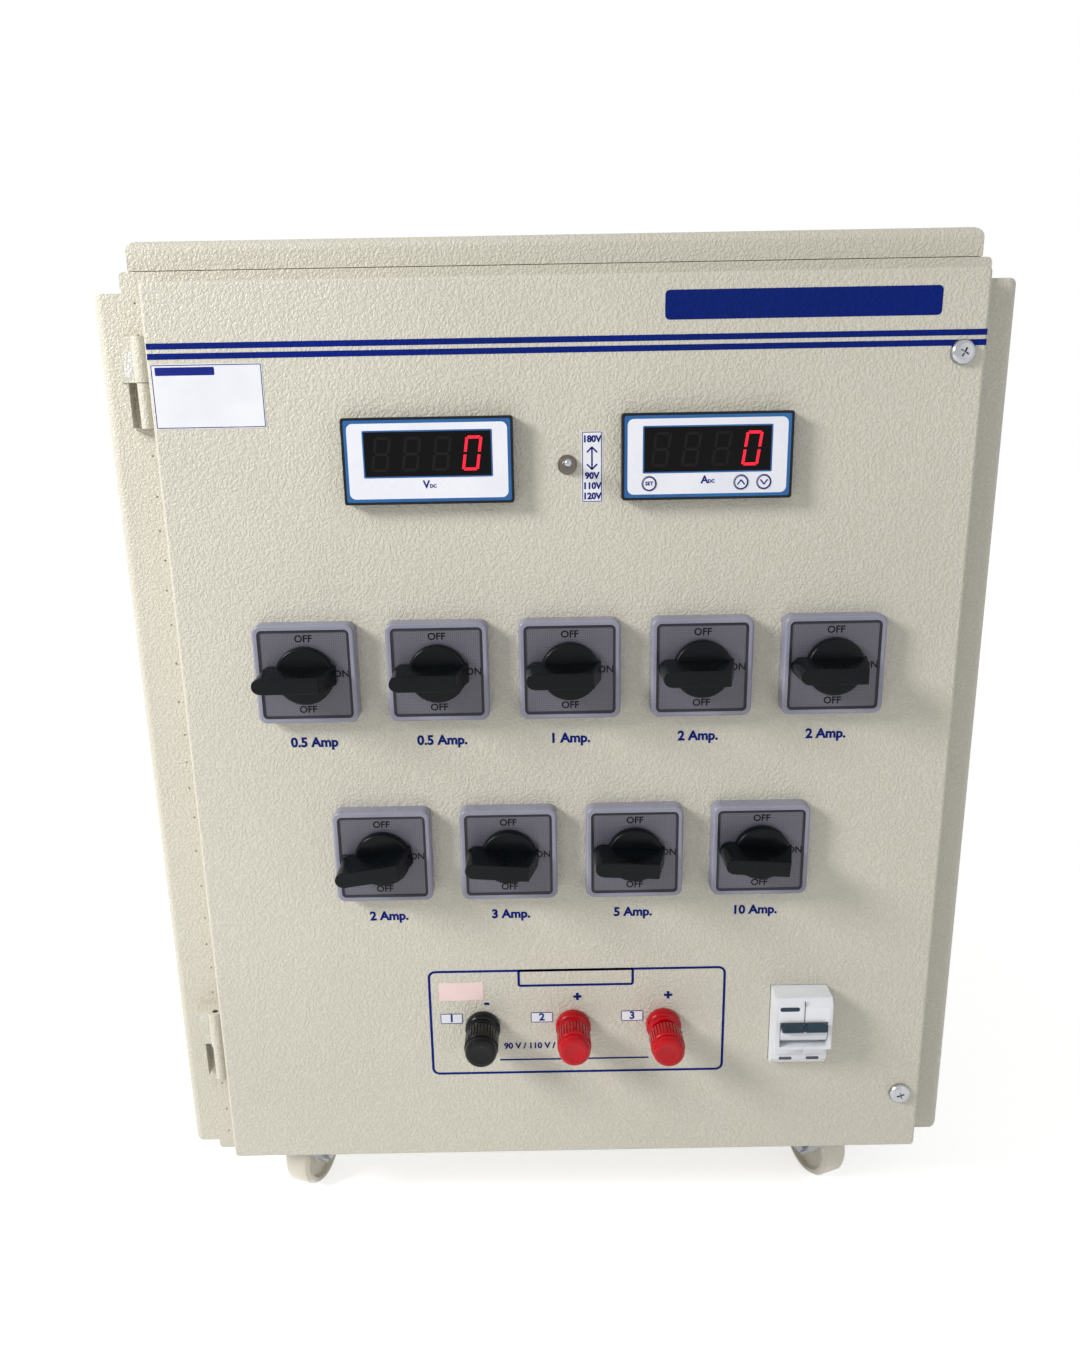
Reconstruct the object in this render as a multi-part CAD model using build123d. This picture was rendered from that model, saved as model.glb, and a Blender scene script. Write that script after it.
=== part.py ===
"""Generator load bank: a sheet-metal cabinet on four swivel casters.

A folded cabinet carries raised side covers and a top cover, a rack of wirewound
resistors and two rear fans. Its front is a hinged door that holds two digital panel
meters, a toggle switch, nine cam switches, three binding posts and a two-pole breaker.

Millimetres, +Z up. The front faces -Y. The origin is on the floor under the centre of
the overall box.
"""

from build123d import *
import math
import os

# ---- cabinet -------------------------------------------------------------------------
body_width = 490.0
body_height = 580.0
body_depth = 440.0
sheet = 1.6
body_corner_radius = 3.0
rim_left = 32.0  # front rim on the hinge side, partly left bare by the door
rim_right = 28.0
rim_top = 24.0
rim_bottom = 24.0
rim_return = 12.0  # depth of the lip folded back round the door opening
rear_flange = 16.0  # flange inside the open back, which the rear panel is screwed to

# ---- door ----------------------------------------------------------------------------
door_width = 466.0
door_height = 565.0
door_depth = 20.0  # front face to the rear edge of the folded flange
door_offset_x = 5.0  # the door sits off centre, to leave room for the hinges
door_lift = 8.0  # door's lower edge above the cabinet's lower edge
door_corner_radius = 3.0
door_gap = 0.3  # gasket to the cabinet's rim
gasket_width = 7.0
gasket_thickness = 6.0

# ---- hinges --------------------------------------------------------------------------
hinge_axis_inset = 6.0  # from the door's hinge edge out to the pin
hinge_axis_depth = 11.0  # behind the door's front face
hinge_upper_drop = 60.0  # cabinet's top to the middle of the upper hinge
hinge_lower_rise = 90.0  # cabinet's bottom to the middle of the lower hinge
knuckle_height = 25.0
knuckle_radius = 4.8
barrel_radius = 4.0
pin_radius = 2.0
pin_clearance = 0.05
hinge_leaf = 2.0

# ---- covers --------------------------------------------------------------------------
side_cover_height = 565.0
side_cover_depth = 400.0
side_cover_thickness = 18.0
side_cover_setback = 3.0  # behind the cabinet's front
side_cover_rise = 4.0  # above the cabinet's lower edge
top_cover_width = 483.0
top_cover_height = 16.0
top_cover_depth = 420.0
top_cover_setback = 5.0
cover_corner_radius = 6.0
cover_gap = 1.0  # stand-off washers hold the top cover just clear of the cabinet

# ---- vents ---------------------------------------------------------------------------
side_slot_length = 90.0
side_slot_width = 8.0
side_slot_pitch = 22.0
side_slot_rows = 18
side_slot_columns = 3
top_slot_length = 110.0
top_slot_rows = 12
rear_slot_rows = 5

# ---- meters --------------------------------------------------------------------------
meter_width = 96.0
meter_height = 48.0
meter_bezel = 8.0
meter_case_depth = 78.0
meter_case_inset = 2.2
meter_offset = 78.4  # from the door's centre line
meter_rise = 467.0  # above the door's lower edge
overlay_depth = 0.6
window_width = 70.6
window_height = 24.2
window_drop = 8.2  # bezel's top edge to the window's
window_thickness = 2.0
key_radius = 4.1
key_rise = 9.2  # bezel's bottom edge to the key's centre
key_offsets = {"set": -32.6, "up": 19.2, "down": 32.1}
key_clearance = 0.2
key_travel = 0.5
key_length = 2.0

# ---- toggle --------------------------------------------------------------------------
toggle_rise = 463.0
toggle_bush_radius = 5.8
toggle_bush_length = 4.0
toggle_ball_radius = 3.0
toggle_lever_length = 12.0
toggle_tip_radius = 2.6
toggle_throw = 12.0  # degrees each side of straight out

# ---- cam switches --------------------------------------------------------------------
switch_pitch = 78.0
switch_row_rise = [344.6, 226.6]
switch_row_count = [5, 4]
plate_size = 60.0
plate_thickness = 10.0
plate_corner_radius = 5.0
plate_rim = 3.0
plate_recess = 0.8
plate_bore_radius = 8.0
switch_neck_radius = 11.0
switch_body_size = 44.0
switch_body_depth = 58.0
knob_radius = 17.3
knob_disc = 8.0
knob_gap = 0.3
knob_neck_radius = 7.6
knob_neck_length = 5.0
knob_projection = 36.0  # door's face to the lever's outer face
lever_reach = 26.0  # pointer end from the knob's axis
lever_tail = 17.0
lever_top_tail = 9.0  # outer face's other end
lever_width = 13.0
lever_top_width = 8.5

# ---- binding posts -------------------------------------------------------------------
post_pitch = 59.5
post_rise = 99.5
post_base_radius = 11.5
post_base_length = 7.0
post_groove_radius = 9.0
post_stud_radius = 3.0
post_stud_length = 24.0
post_cap_radius = 11.5
post_cap_length = 17.0
post_dome_radius = 9.3
post_dome_length = 5.0
post_cap_gap = 0.3
post_open_gap = 2.5  # the third cap stands open by this much more
post_knurls = 32
post_knurl_depth = 0.5

# ---- breaker -------------------------------------------------------------------------
breaker_offset = 148.0
breaker_width = 36.0
breaker_bottom = 71.0
breaker_nose_height = 55.0
breaker_projection = 18.0
breaker_step = 9.0  # projection of the lower shoulder
breaker_shoulder = 19.0  # shoulder's top above the breaker's bottom
breaker_back_height = 82.0
breaker_back_depth = 52.0
breaker_window_low = 21.0
breaker_window_high = 39.0
handle_radius = 7.0
handle_throw = 70.0
panel_clearance = 0.4

# ---- door screws ---------------------------------------------------------------------
lock_offset = 219.5
lock_rises = [43.0, 520.5]
lock_head_radius = 7.0
lock_head_height = 4.0
lock_shank_radius = 3.0
lock_shank_length = 22.0

# ---- resistors and fans --------------------------------------------------------------
resistor_radius = 14.0
resistor_length = 330.0
resistor_columns = 3
resistor_rows = 7
resistor_pitch_y = 60.0
resistor_pitch_z = 62.0
resistor_stud_radius = 3.0
rack_start = 190.0  # behind the door's face
rack_base_rise = 100.0
rack_plate = 3.0
fan_size = 120.0
fan_depth = 38.0
fan_bore_radius = 57.0
fan_pitch = 200.0
fan_rise = 430.0
fan_hub_radius = 24.0
fan_blades = 7
fan_tip_clearance = 1.5
guard_projection = 6.0
guard_wire = 1.6

# ---- casters -------------------------------------------------------------------------
caster_height = 68.0
caster_inset_x = 46.0
caster_inset_y = 33.0
caster_plate = 60.0
caster_bolt_pitch = 46.0
caster_bolt_radius = 3.0
caster_plate_thickness = 2.5
wheel_radius = 25.0
wheel_width = 20.0
wheel_bore_radius = 4.05
axle_radius = 4.0
caster_trail = 20.0
fork_sheet = 2.5
fork_gap = 1.0
kingpin_radius = 5.0
caster_headings = {  # degrees, the way the wheel trails from its swivel
    "front_left": 72.0,
    "front_right": 112.0,
    "rear_left": 118.0,
    "rear_right": 64.0,
}

# ---- fasteners -----------------------------------------------------------------------
screw_head_radius = 4.0
screw_head_height = 2.2
screw_shank_radius = 2.0
screw_shank_length = 6.0

# ---- places worked out from the sizes above ------------------------------------------
total_depth = knob_projection + door_depth + body_depth + guard_projection
door_face_y = knob_projection - total_depth / 2
body_front_y = door_face_y + door_depth
body_rear_y = body_front_y + body_depth
body_low_z = caster_height
body_high_z = caster_height + body_height
body_left_x = -body_width / 2
body_right_x = body_width / 2
door_low_z = body_low_z + door_lift
door_high_z = door_low_z + door_height
door_left_x = door_offset_x - door_width / 2
door_right_x = door_offset_x + door_width / 2
hinge_x = door_left_x - hinge_axis_inset
hinge_y = door_face_y + hinge_axis_depth
hinge_mid_z = [body_low_z + hinge_lower_rise, body_high_z - hinge_upper_drop]
opening_low_x = body_left_x + rim_left
opening_high_x = body_right_x - rim_right
opening_low_z = body_low_z + rim_bottom
opening_high_z = body_high_z - rim_top
plate_face_y = door_face_y - plate_thickness


def block(low, high):
    """A box between two corners."""
    size = [b - a for a, b in zip(low, high)]
    middle = [(a + b) / 2 for a, b in zip(low, high)]
    return Pos(*middle) * Box(*size)


def facing(x, z, y):
    """A plane at (x, y, z) that faces the front, its own X along +X and Y along +Z."""
    return Plane(origin=(x, y, z), x_dir=(1, 0, 0), z_dir=(0, -1, 0))


def rod_y(radius, x, z, front_y, rear_y):
    """A cylinder along Y between two depths."""
    return extrude(facing(x, z, rear_y) * Circle(radius), rear_y - front_y)


def switch_centres():
    """(x, z) of each cam switch, row by row from the upper left."""
    found = []
    for rise, count in zip(switch_row_rise, switch_row_count):
        for column in range(count):
            offset = (column - (count - 1) / 2) * switch_pitch
            found.append((door_offset_x + offset, door_low_z + rise))
    return found


def post_centres():
    return [(door_offset_x + k * post_pitch, door_low_z + post_rise) for k in (-1, 0, 1)]


def meter_centres():
    rise = door_low_z + meter_rise
    return [(door_offset_x - meter_offset, rise), (door_offset_x + meter_offset, rise)]


def grid_slots(plane, length, width, rows, pitch, columns, column_pitch, through):
    """Round-ended vent slots in a grid, as one cutter."""
    slots = Sketch() + GridLocations(column_pitch, pitch, columns, rows) * SlotOverall(length, width)
    return extrude(plane * slots, through, both=True)


# ---- cabinet -------------------------------------------------------------------------
def cabinet_body():
    outer = block((body_left_x, body_front_y, body_low_z), (body_right_x, body_rear_y, body_high_z))
    outer = fillet(outer.edges().filter_by(Axis.Y), body_corner_radius)
    inner = block(
        (body_left_x + sheet, body_front_y + sheet, body_low_z + sheet),
        (body_right_x - sheet, body_rear_y + sheet, body_high_z - sheet),
    )
    flange_y = body_rear_y - 2 * sheet
    flange = block(
        (body_left_x, flange_y, body_low_z), (body_right_x, flange_y + sheet, body_high_z))
    window = block(
        (body_left_x + rear_flange, flange_y - 1, body_low_z + rear_flange),
        (body_right_x - rear_flange, body_rear_y, body_high_z - rear_flange),
    )
    shell = outer - inner + (flange - window) & outer
    lip_outer = block(
        (opening_low_x - sheet, body_front_y, opening_low_z - sheet),
        (opening_high_x + sheet, body_front_y + rim_return, opening_high_z + sheet),
    )
    opening = block(
        (opening_low_x, body_front_y - sheet, opening_low_z),
        (opening_high_x, body_front_y + rim_return + sheet, opening_high_z),
    )
    shell = shell + lip_outer - opening
    side_vents = grid_slots(
        Plane(origin=(0, (body_front_y + body_rear_y) / 2, (body_low_z + body_high_z) / 2),
              x_dir=(0, 1, 0), z_dir=(1, 0, 0)),
        side_slot_length, side_slot_width, side_slot_rows, side_slot_pitch,
        side_slot_columns, side_slot_length + 2 * side_slot_width, body_width,
    )
    top_vents = grid_slots(
        Plane(origin=(0, (body_front_y + body_rear_y) / 2, body_high_z), x_dir=(1, 0, 0), z_dir=(0, 0, 1)),
        top_slot_length, side_slot_width, top_slot_rows, side_slot_pitch,
        side_slot_columns, top_slot_length + 2 * side_slot_width, 2 * sheet,
    )
    shell = shell - side_vents - top_vents
    for x, z in lock_places():
        shell = shell - rod_y(lock_shank_radius + 0.5, x, z, body_front_y - sheet, body_front_y + rim_return)
    hole = screw_shank_radius + 0.1
    for x, z in rear_screw_places():
        shell = shell - rod_y(hole, x, z, flange_y - 1, body_rear_y + 1)
    for x, y in top_screw_places():
        shell = shell - Pos(x, y, body_high_z) * Cylinder(hole, 4 * sheet)
    for y, z in side_screw_places():
        shell = shell - Pos(0, y, z) * Rot(0, 90, 0) * Cylinder(hole, 2 * body_width)
    for x, y in caster_bolt_places():
        shell = shell - Pos(x, y, body_low_z) * Cylinder(caster_bolt_radius + 0.2, 4 * sheet)
    return shell


def rear_panel():
    """Panel let into the open back, with fan holes and a row of lower vents."""
    inset = sheet + panel_clearance
    low = (body_left_x + inset, body_rear_y - sheet, body_low_z + inset)
    high = (body_right_x - inset, body_rear_y, body_high_z - inset)
    panel = block(low, high)
    for x, z in fan_centres():
        panel = panel - rod_y(fan_bore_radius, x, z, low[1] - 1, high[1] + 1)
    vents = grid_slots(
        Plane(origin=(0, body_rear_y, body_low_z + body_height * 0.2), x_dir=(1, 0, 0), z_dir=(0, -1, 0)),
        side_slot_length, side_slot_width, rear_slot_rows, side_slot_pitch,
        side_slot_columns, side_slot_length + 2 * side_slot_width, 2 * sheet,
    )
    for x, z in rear_screw_places():
        panel = panel - rod_y(screw_shank_radius + 0.1, x, z, low[1] - 1, high[1] + 1)
    return panel - vents


def side_cover(side):
    """Raised cover over the side vents: a shallow tray, open at the bottom for air."""
    wall_x = body_left_x if side < 0 else body_right_x
    outer_x = wall_x + side * side_cover_thickness
    front = body_front_y + side_cover_setback
    low_z = body_low_z + side_cover_rise
    outer = block(
        (min(wall_x, outer_x), front, low_z),
        (max(wall_x, outer_x), front + side_cover_depth, low_z + side_cover_height),
    )
    edge = outer.faces().sort_by(Axis.X)[0 if side < 0 else -1].edges()
    outer = fillet(edge, cover_corner_radius)
    hollow = block(
        (min(wall_x - side, outer_x - side * sheet), front + sheet, low_z + sheet),
        (max(wall_x - side, outer_x - side * sheet), front + side_cover_depth - sheet,
         low_z + side_cover_height - sheet),
    )
    inner_edge = hollow.faces().sort_by(Axis.X)[0 if side < 0 else -1].edges()
    hollow = fillet(inner_edge, cover_corner_radius - sheet)
    cover = outer - hollow
    middle = (min(wall_x, outer_x) + max(wall_x, outer_x)) / 2
    cover = cover - grid_slots(
        Plane(origin=(middle, front + side_cover_depth / 2, low_z), x_dir=(0, 1, 0), z_dir=(0, 0, 1)),
        side_slot_length, side_slot_width * 0.6, 1, 1,
        side_slot_columns, side_slot_length + 2 * side_slot_width, 2 * sheet,
    )
    for y, z in side_screw_places():
        boss = Pos(middle - side * sheet / 2, y, z) * Rot(0, 90, 0) * Cylinder(
            screw_head_radius, side_cover_thickness - sheet)
        cover = cover + boss
        bore = Pos(middle, y, z) * Rot(0, 90, 0) * Cylinder(
            screw_shank_radius + 0.1, side_cover_thickness * 3)
        cover = cover - bore
    return cover


def top_cover():
    """Raised cover over the top vents, with a raked front and ends."""
    front = body_front_y + top_cover_setback
    low_z = body_high_z + cover_gap
    outer = block(
        (-top_cover_width / 2, front, low_z),
        (top_cover_width / 2, front + top_cover_depth, low_z + top_cover_height),
    )
    outer = fillet(outer.faces().sort_by(Axis.Z)[-1].edges(), cover_corner_radius)
    hollow = block(
        (-top_cover_width / 2 + sheet, front + sheet, low_z - 1),
        (top_cover_width / 2 - sheet, front + top_cover_depth - sheet, low_z + top_cover_height - sheet),
    )
    hollow = fillet(hollow.faces().sort_by(Axis.Z)[-1].edges(), cover_corner_radius - sheet)
    cover = outer - hollow
    cover = cover - grid_slots(
        Plane(origin=(0, front + top_cover_depth, low_z + top_cover_height * 0.45),
              x_dir=(1, 0, 0), z_dir=(0, 1, 0)),
        top_slot_length, side_slot_width * 0.6, 1, 1,
        side_slot_columns, top_slot_length + 2 * side_slot_width, 2 * sheet,
    )
    for x, y in top_screw_places():
        foot = Pos(x, y, low_z + (top_cover_height - sheet) / 2) * Cylinder(
            screw_head_radius, top_cover_height - sheet)
        foot = foot + Pos(x, y, low_z - cover_gap / 2) * Cylinder(screw_head_radius, cover_gap)
        bore = Pos(x, y, low_z) * Cylinder(screw_shank_radius + 0.1, top_cover_height)
        cover = cover + foot - bore
    return cover


def side_screw_places():
    front = body_front_y + side_cover_setback
    low_z = body_low_z + side_cover_rise
    return [
        (front + y, low_z + z)
        for y in (16.0, side_cover_depth - 16.0)
        for z in (16.0, side_cover_height - 16.0)
    ]


def top_screw_places():
    front = body_front_y + top_cover_setback
    return [
        (side * (top_cover_width / 2 - 18.0), front + y)
        for side in (-1, 1)
        for y in (18.0, top_cover_depth - 18.0)
    ]


def rear_screw_places():
    return [
        (side * (body_right_x - rear_flange * 0.6), body_low_z + z)
        for side in (-1, 1)
        for z in (30.0, body_height / 2, body_height - 30.0)
    ]


def caster_bolt_places():
    return [
        (x + dx * caster_bolt_pitch / 2, y + dy * caster_bolt_pitch / 2)
        for x, y in caster_places().values()
        for dx in (-1, 1)
        for dy in (-1, 1)
    ]


def pan_screw(length):
    """A pan-head screw whose head sits on Z = 0 and whose shank points down."""
    head = Cylinder(screw_head_radius, screw_head_height, align=(Align.CENTER, Align.CENTER, Align.MIN))
    head = fillet(head.edges().sort_by(Axis.Z)[-1], screw_head_height * 0.6)
    shank = Cylinder(screw_shank_radius, length, align=(Align.CENTER, Align.CENTER, Align.MAX))
    cross = Box(screw_head_radius, 0.9, 1.2) + Box(0.9, screw_head_radius, 1.2)
    return head + shank - Pos(0, 0, screw_head_height) * cross


def cover_screws():
    screw = pan_screw(side_cover_thickness + 2 * sheet)
    placed = []
    for side in (-1, 1):
        outer_x = side * (body_width / 2 + side_cover_thickness)
        placed += [Pos(outer_x, y, z) * Rot(0, side * 90, 0) * screw for y, z in side_screw_places()]
    screw = pan_screw(screw_shank_length)
    roof_z = body_high_z - sheet
    placed += [Pos(x, y, roof_z) * Rot(180, 0, 0) * screw for x, y in top_screw_places()]
    placed += [Pos(x, body_rear_y, z) * Rot(-90, 0, 0) * screw for x, z in rear_screw_places()]
    return placed


# ---- hinges --------------------------------------------------------------------------
def hinge_body_leaves():
    """Welded upper knuckles on the cabinet, each with a lip beside the door's barrel."""
    leaves = []
    for z in hinge_mid_z:
        knuckle = Pos(hinge_x, hinge_y, z + knuckle_height / 2 + 0.25) * Cylinder(
            knuckle_radius, knuckle_height)
        back = block(
            (body_left_x - 2.0, hinge_y, z + 0.25),
            (hinge_x + knuckle_radius * 0.7, body_front_y, z + knuckle_height + 0.25),
        )
        lip = block(
            (body_left_x - 2.0, hinge_y + 1.0, z - knuckle_height),
            (body_left_x + 1.5, body_front_y, z + 0.25),
        )
        bore = Pos(hinge_x, hinge_y, z) * Cylinder(pin_radius, 2 * knuckle_height + 4)
        leaves.append(knuckle + back + lip - bore)
    return leaves


def hinge_door_leaves():
    """Barrels under the cabinet's knuckles, welded to the door's flange."""
    leaves = []
    for z in hinge_mid_z:
        barrel = Pos(hinge_x, hinge_y, z - knuckle_height / 2 - 0.05) * Cylinder(
            barrel_radius, knuckle_height)
        tongue = block(
            (hinge_x, hinge_y - hinge_leaf / 2, z - knuckle_height - 0.05),
            (door_left_x, hinge_y + hinge_leaf / 2, z - 0.05),
        )
        bore = Pos(hinge_x, hinge_y, z) * Cylinder(pin_radius + pin_clearance, 2 * knuckle_height + 4)
        leaves.append(barrel + tongue - bore)
    return leaves


def hinge_pins():
    length = 2 * knuckle_height - 1.0
    return [Pos(hinge_x, hinge_y, z) * Cylinder(pin_radius, length) for z in hinge_mid_z]


# ---- door ----------------------------------------------------------------------------
def lock_places():
    return [(door_offset_x + lock_offset, door_low_z + rise) for rise in lock_rises]


def door_panel():
    outer = block((door_left_x, door_face_y, door_low_z), (door_right_x, body_front_y - door_gap, door_high_z))
    outer = fillet(outer.edges().filter_by(Axis.Y), door_corner_radius)
    outer = fillet(outer.faces().sort_by(Axis.Y)[0].edges(), door_corner_radius * 0.7)
    inner = block(
        (door_left_x + sheet, door_face_y + sheet, door_low_z + sheet),
        (door_right_x - sheet, body_front_y + sheet, door_high_z - sheet),
    )
    door = outer - inner
    deep = door_face_y + 3 * sheet
    shallow = door_face_y - 1
    for x, z in switch_centres():
        door = door - rod_y(switch_neck_radius + panel_clearance, x, z, shallow, deep)
    for x, z in post_centres():
        door = door - rod_y(post_stud_radius + 1.5, x, z, shallow, deep)
    for x, z in lock_places():
        door = door - rod_y(lock_shank_radius + 0.3, x, z, shallow, deep)
    door = door - rod_y(toggle_bush_radius * 0.6, door_offset_x, door_low_z + toggle_rise, shallow, deep)
    half_w = meter_width / 2 - meter_case_inset + panel_clearance
    half_h = meter_height / 2 - meter_case_inset + panel_clearance
    for x, z in meter_centres():
        door = door - block((x - half_w, shallow, z - half_h), (x + half_w, deep, z + half_h))
    half = breaker_width / 2 + panel_clearance
    x = door_offset_x + breaker_offset
    z = door_low_z + breaker_bottom
    door = door - block(
        (x - half, shallow, z - panel_clearance), (x + half, deep, z + breaker_nose_height + panel_clearance))
    return door


def door_gasket():
    """Foam strip inside the door's flange, which meets the cabinet's rim."""
    rear = body_front_y - door_gap
    low = (door_left_x + sheet, rear - gasket_thickness, door_low_z + sheet)
    high = (door_right_x - sheet, rear, door_high_z - sheet)
    ring = block(low, high)
    hole = block(
        (low[0] + gasket_width, low[1] - 1, low[2] + gasket_width),
        (high[0] - gasket_width, high[1] + 1, high[2] - gasket_width),
    )
    return ring - hole


def door_screws():
    screws = []
    for x, z in lock_places():
        plane = facing(x, z, door_face_y)
        head = extrude(plane * Circle(lock_head_radius), lock_head_height)
        head = fillet(head.edges().sort_by(Axis.Y)[0], lock_head_height * 0.7)
        shank = rod_y(lock_shank_radius, x, z, door_face_y, door_face_y + lock_shank_length)
        arm = lock_head_radius * 0.55
        cross = extrude(plane.offset(lock_head_height) * Rectangle(2 * arm, 1.5), 2.2, both=True)
        cross = cross + extrude(plane.offset(lock_head_height) * Rectangle(1.5, 2 * arm), 2.2, both=True)
        screws.append(head + shank - cross)
    return screws


# ---- meters --------------------------------------------------------------------------
def meter_case(x, z, keyed):
    """Bezel with a shallow overlay recess and a window opening, and the case behind."""
    bezel = extrude(facing(x, z, door_face_y) * RectangleRounded(meter_width, meter_height, 1.5), meter_bezel)
    case_w = meter_width - 2 * meter_case_inset
    case_h = meter_height - 2 * meter_case_inset
    rear = door_face_y + meter_case_depth
    case = extrude(facing(x, z, rear) * Rectangle(case_w, case_h), meter_case_depth)
    cavity = extrude(facing(x, z, rear - 3) * Rectangle(case_w - 4, case_h - 4), meter_case_depth - 6)
    front = door_face_y - meter_bezel
    recess = extrude(
        facing(x, z, front + overlay_depth) * RectangleRounded(meter_width - 2.4, meter_height - 2.4, 1), 2)
    window_z = z + meter_height / 2 - window_drop - window_height / 2
    window = extrude(
        facing(x, window_z, front + meter_bezel) * Rectangle(window_width, window_height), meter_bezel + 1)
    meter = bezel + case - recess - window - cavity
    if keyed:
        for offset in key_offsets.values():
            meter = meter - rod_y(
                key_radius + key_clearance, x + offset, z - meter_height / 2 + key_rise,
                front - 1, front + overlay_depth + key_length + key_travel)
    return meter


def meter_window(x, z):
    window_z = z + meter_height / 2 - window_drop - window_height / 2
    front = door_face_y - meter_bezel + overlay_depth
    return extrude(
        facing(x, window_z, front + window_thickness + 1.0) * Rectangle(window_width, window_height),
        window_thickness)


def meter_key(x, z, offset):
    front = door_face_y - meter_bezel + overlay_depth
    key = rod_y(key_radius, x + offset, z - meter_height / 2 + key_rise, front, front + key_length)
    return fillet(key.edges().sort_by(Axis.Y)[0], 0.3)


# ---- toggle --------------------------------------------------------------------------
def toggle_body():
    x, z = door_offset_x, door_low_z + toggle_rise
    nut = extrude(facing(x, z, door_face_y) * RegularPolygon(toggle_bush_radius, 6), toggle_bush_length * 0.6)
    bush = rod_y(toggle_bush_radius * 0.55, x, z, door_face_y - toggle_bush_length, door_face_y + 6)
    case = block((x - 6.5, door_face_y + sheet, z - 6.5), (x + 6.5, door_face_y + 16, z + 6.5))
    pivot = door_face_y - toggle_bush_length + 1.0
    socket = Pos(x, pivot, z) * Sphere(toggle_ball_radius * 0.8)
    cone = extrude(facing(x, z, pivot + 1) * Circle(toggle_ball_radius * 0.5), 10, taper=-18)
    return nut + bush + case - socket - cone


def toggle_lever():
    """Bat lever tilted up to the top of its throw."""
    x, z = door_offset_x, door_low_z + toggle_rise
    pivot_y = door_face_y - toggle_bush_length + 1.0
    ball = Sphere(toggle_ball_radius * 0.72)
    bat = Cone(1.1, toggle_tip_radius, toggle_lever_length, align=(Align.CENTER, Align.CENTER, Align.MIN))
    bat = fillet(bat.edges().sort_by(Axis.Z)[-1], toggle_tip_radius * 0.7)
    return Pos(x, pivot_y, z) * Rot(90 - toggle_throw, 0, 0) * (ball + bat)


# ---- cam switches --------------------------------------------------------------------
def switch_plate(x, z):
    """Escutcheon with a raised rim round its legend, and the neck through the door."""
    plane = facing(x, z, door_face_y)
    plate = extrude(plane * RectangleRounded(plate_size, plate_size, plate_corner_radius), plate_thickness)
    plate = fillet(plate.faces().sort_by(Axis.Y)[0].edges(), 1.5)
    inner = plate_size - 2 * plate_rim
    recess = extrude(
        plane.offset(plate_thickness) * RectangleRounded(inner, inner, plate_corner_radius - 2),
        plate_recess, both=True)
    neck = rod_y(switch_neck_radius, x, z, door_face_y, door_face_y + 2 * sheet)
    bore = rod_y(plate_bore_radius, x, z, plate_face_y - 1, door_face_y + 2 * sheet + 1)
    return plate - recess + neck - bore


def switch_body(x, z):
    """Stacked contact chambers behind the door, with terminal screws on each layer."""
    front = door_face_y + 2 * sheet
    body = None
    layers = 4
    layer = switch_body_depth / layers
    for k in range(layers):
        size = switch_body_size if k else switch_body_size + 4
        start = front + k * layer
        chamber = extrude(
            facing(x, z, start + layer) * RectangleRounded(size, size, 4), layer)
        body = chamber if body is None else body + chamber
        if k:
            for side in (-1, 1):
                body = body + block(
                    (x - 12, start + 3, z + side * size / 2 - 2), (x + 12, start + layer - 3, z + side * size / 2 + 2))
    return body


def knob(x, z):
    """Lever knob in the ON position, its pointer to the left."""
    seat_y = plate_face_y + plate_recess - knob_gap
    disc = rod_y(knob_radius, x, z, seat_y - knob_disc, seat_y)
    disc = fillet(disc.edges().sort_by(Axis.Y)[0], 1.2)
    outer_y = door_face_y - knob_projection
    base_y = seat_y - 2.0
    base = facing(x, z, base_y) * make_lever_outline(-lever_reach + 1, lever_tail, lever_width)
    top = facing(x, z, outer_y) * make_lever_outline(-lever_reach + 2, lever_top_tail, lever_top_width)
    lever = loft([base, top])
    neck = rod_y(knob_neck_radius, x, z, seat_y, seat_y + knob_neck_length)
    return disc + lever + neck


def make_lever_outline(left, right, width):
    """A bar with a round pointer end on the left and a square tail on the right."""
    half = width / 2
    outline = Polyline((left + half, half), (right, half), (right, -half), (left + half, -half))
    nose = ThreePointArc((left + half, half), (left, 0), (left + half, -half))
    return make_face(Wire([*outline.edges(), nose.edge()]))


# ---- binding posts -------------------------------------------------------------------
def post_base(x, z):
    """Insulating flange with a waist that the wire lies against."""
    flange = rod_y(post_base_radius, x, z, door_face_y - post_base_length, door_face_y)
    flange = fillet(flange.edges().sort_by(Axis.Y)[0], 1.5)
    waist = rod_y(
        post_groove_radius, x, z, door_face_y - post_base_length - 2.0, door_face_y - post_base_length)
    bore = rod_y(post_stud_radius, x, z, door_face_y - post_base_length - 3, door_face_y + 1)
    return flange + waist - bore


def post_stud(x, z):
    front = door_face_y - post_stud_length
    stud = rod_y(post_stud_radius, x, z, front, door_face_y + 18.0)
    nut = extrude(facing(x, z, door_face_y + sheet + 5.0) * RegularPolygon(6.0, 6), 5.0)
    return stud + nut


def post_cap(x, z, gap):
    """Knurled clamping nut with a smooth domed end."""
    seat_y = door_face_y - post_base_length - 2.0 - gap
    front_y = seat_y - post_cap_length
    cap = rod_y(post_cap_radius, x, z, front_y, seat_y)
    cap = fillet(cap.edges().sort_by(Axis.Y)[0], 1.0)
    dome = rod_y(post_dome_radius, x, z, front_y - post_dome_length, front_y)
    dome = fillet(dome.edges().sort_by(Axis.Y)[0], 3.0)
    flutes = Sketch() + PolarLocations(post_cap_radius + 0.2, post_knurls) * Circle(post_knurl_depth + 0.2)
    cap = cap - extrude(facing(x, z, seat_y) * flutes, post_cap_length - 4.0)
    tip = door_face_y - post_stud_length
    bore = rod_y(post_stud_radius + 0.05, x, z, tip - 0.5, seat_y + 1)
    return cap + dome - bore


# ---- breaker -------------------------------------------------------------------------
def breaker_place():
    return door_offset_x + breaker_offset, door_low_z + breaker_bottom


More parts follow.
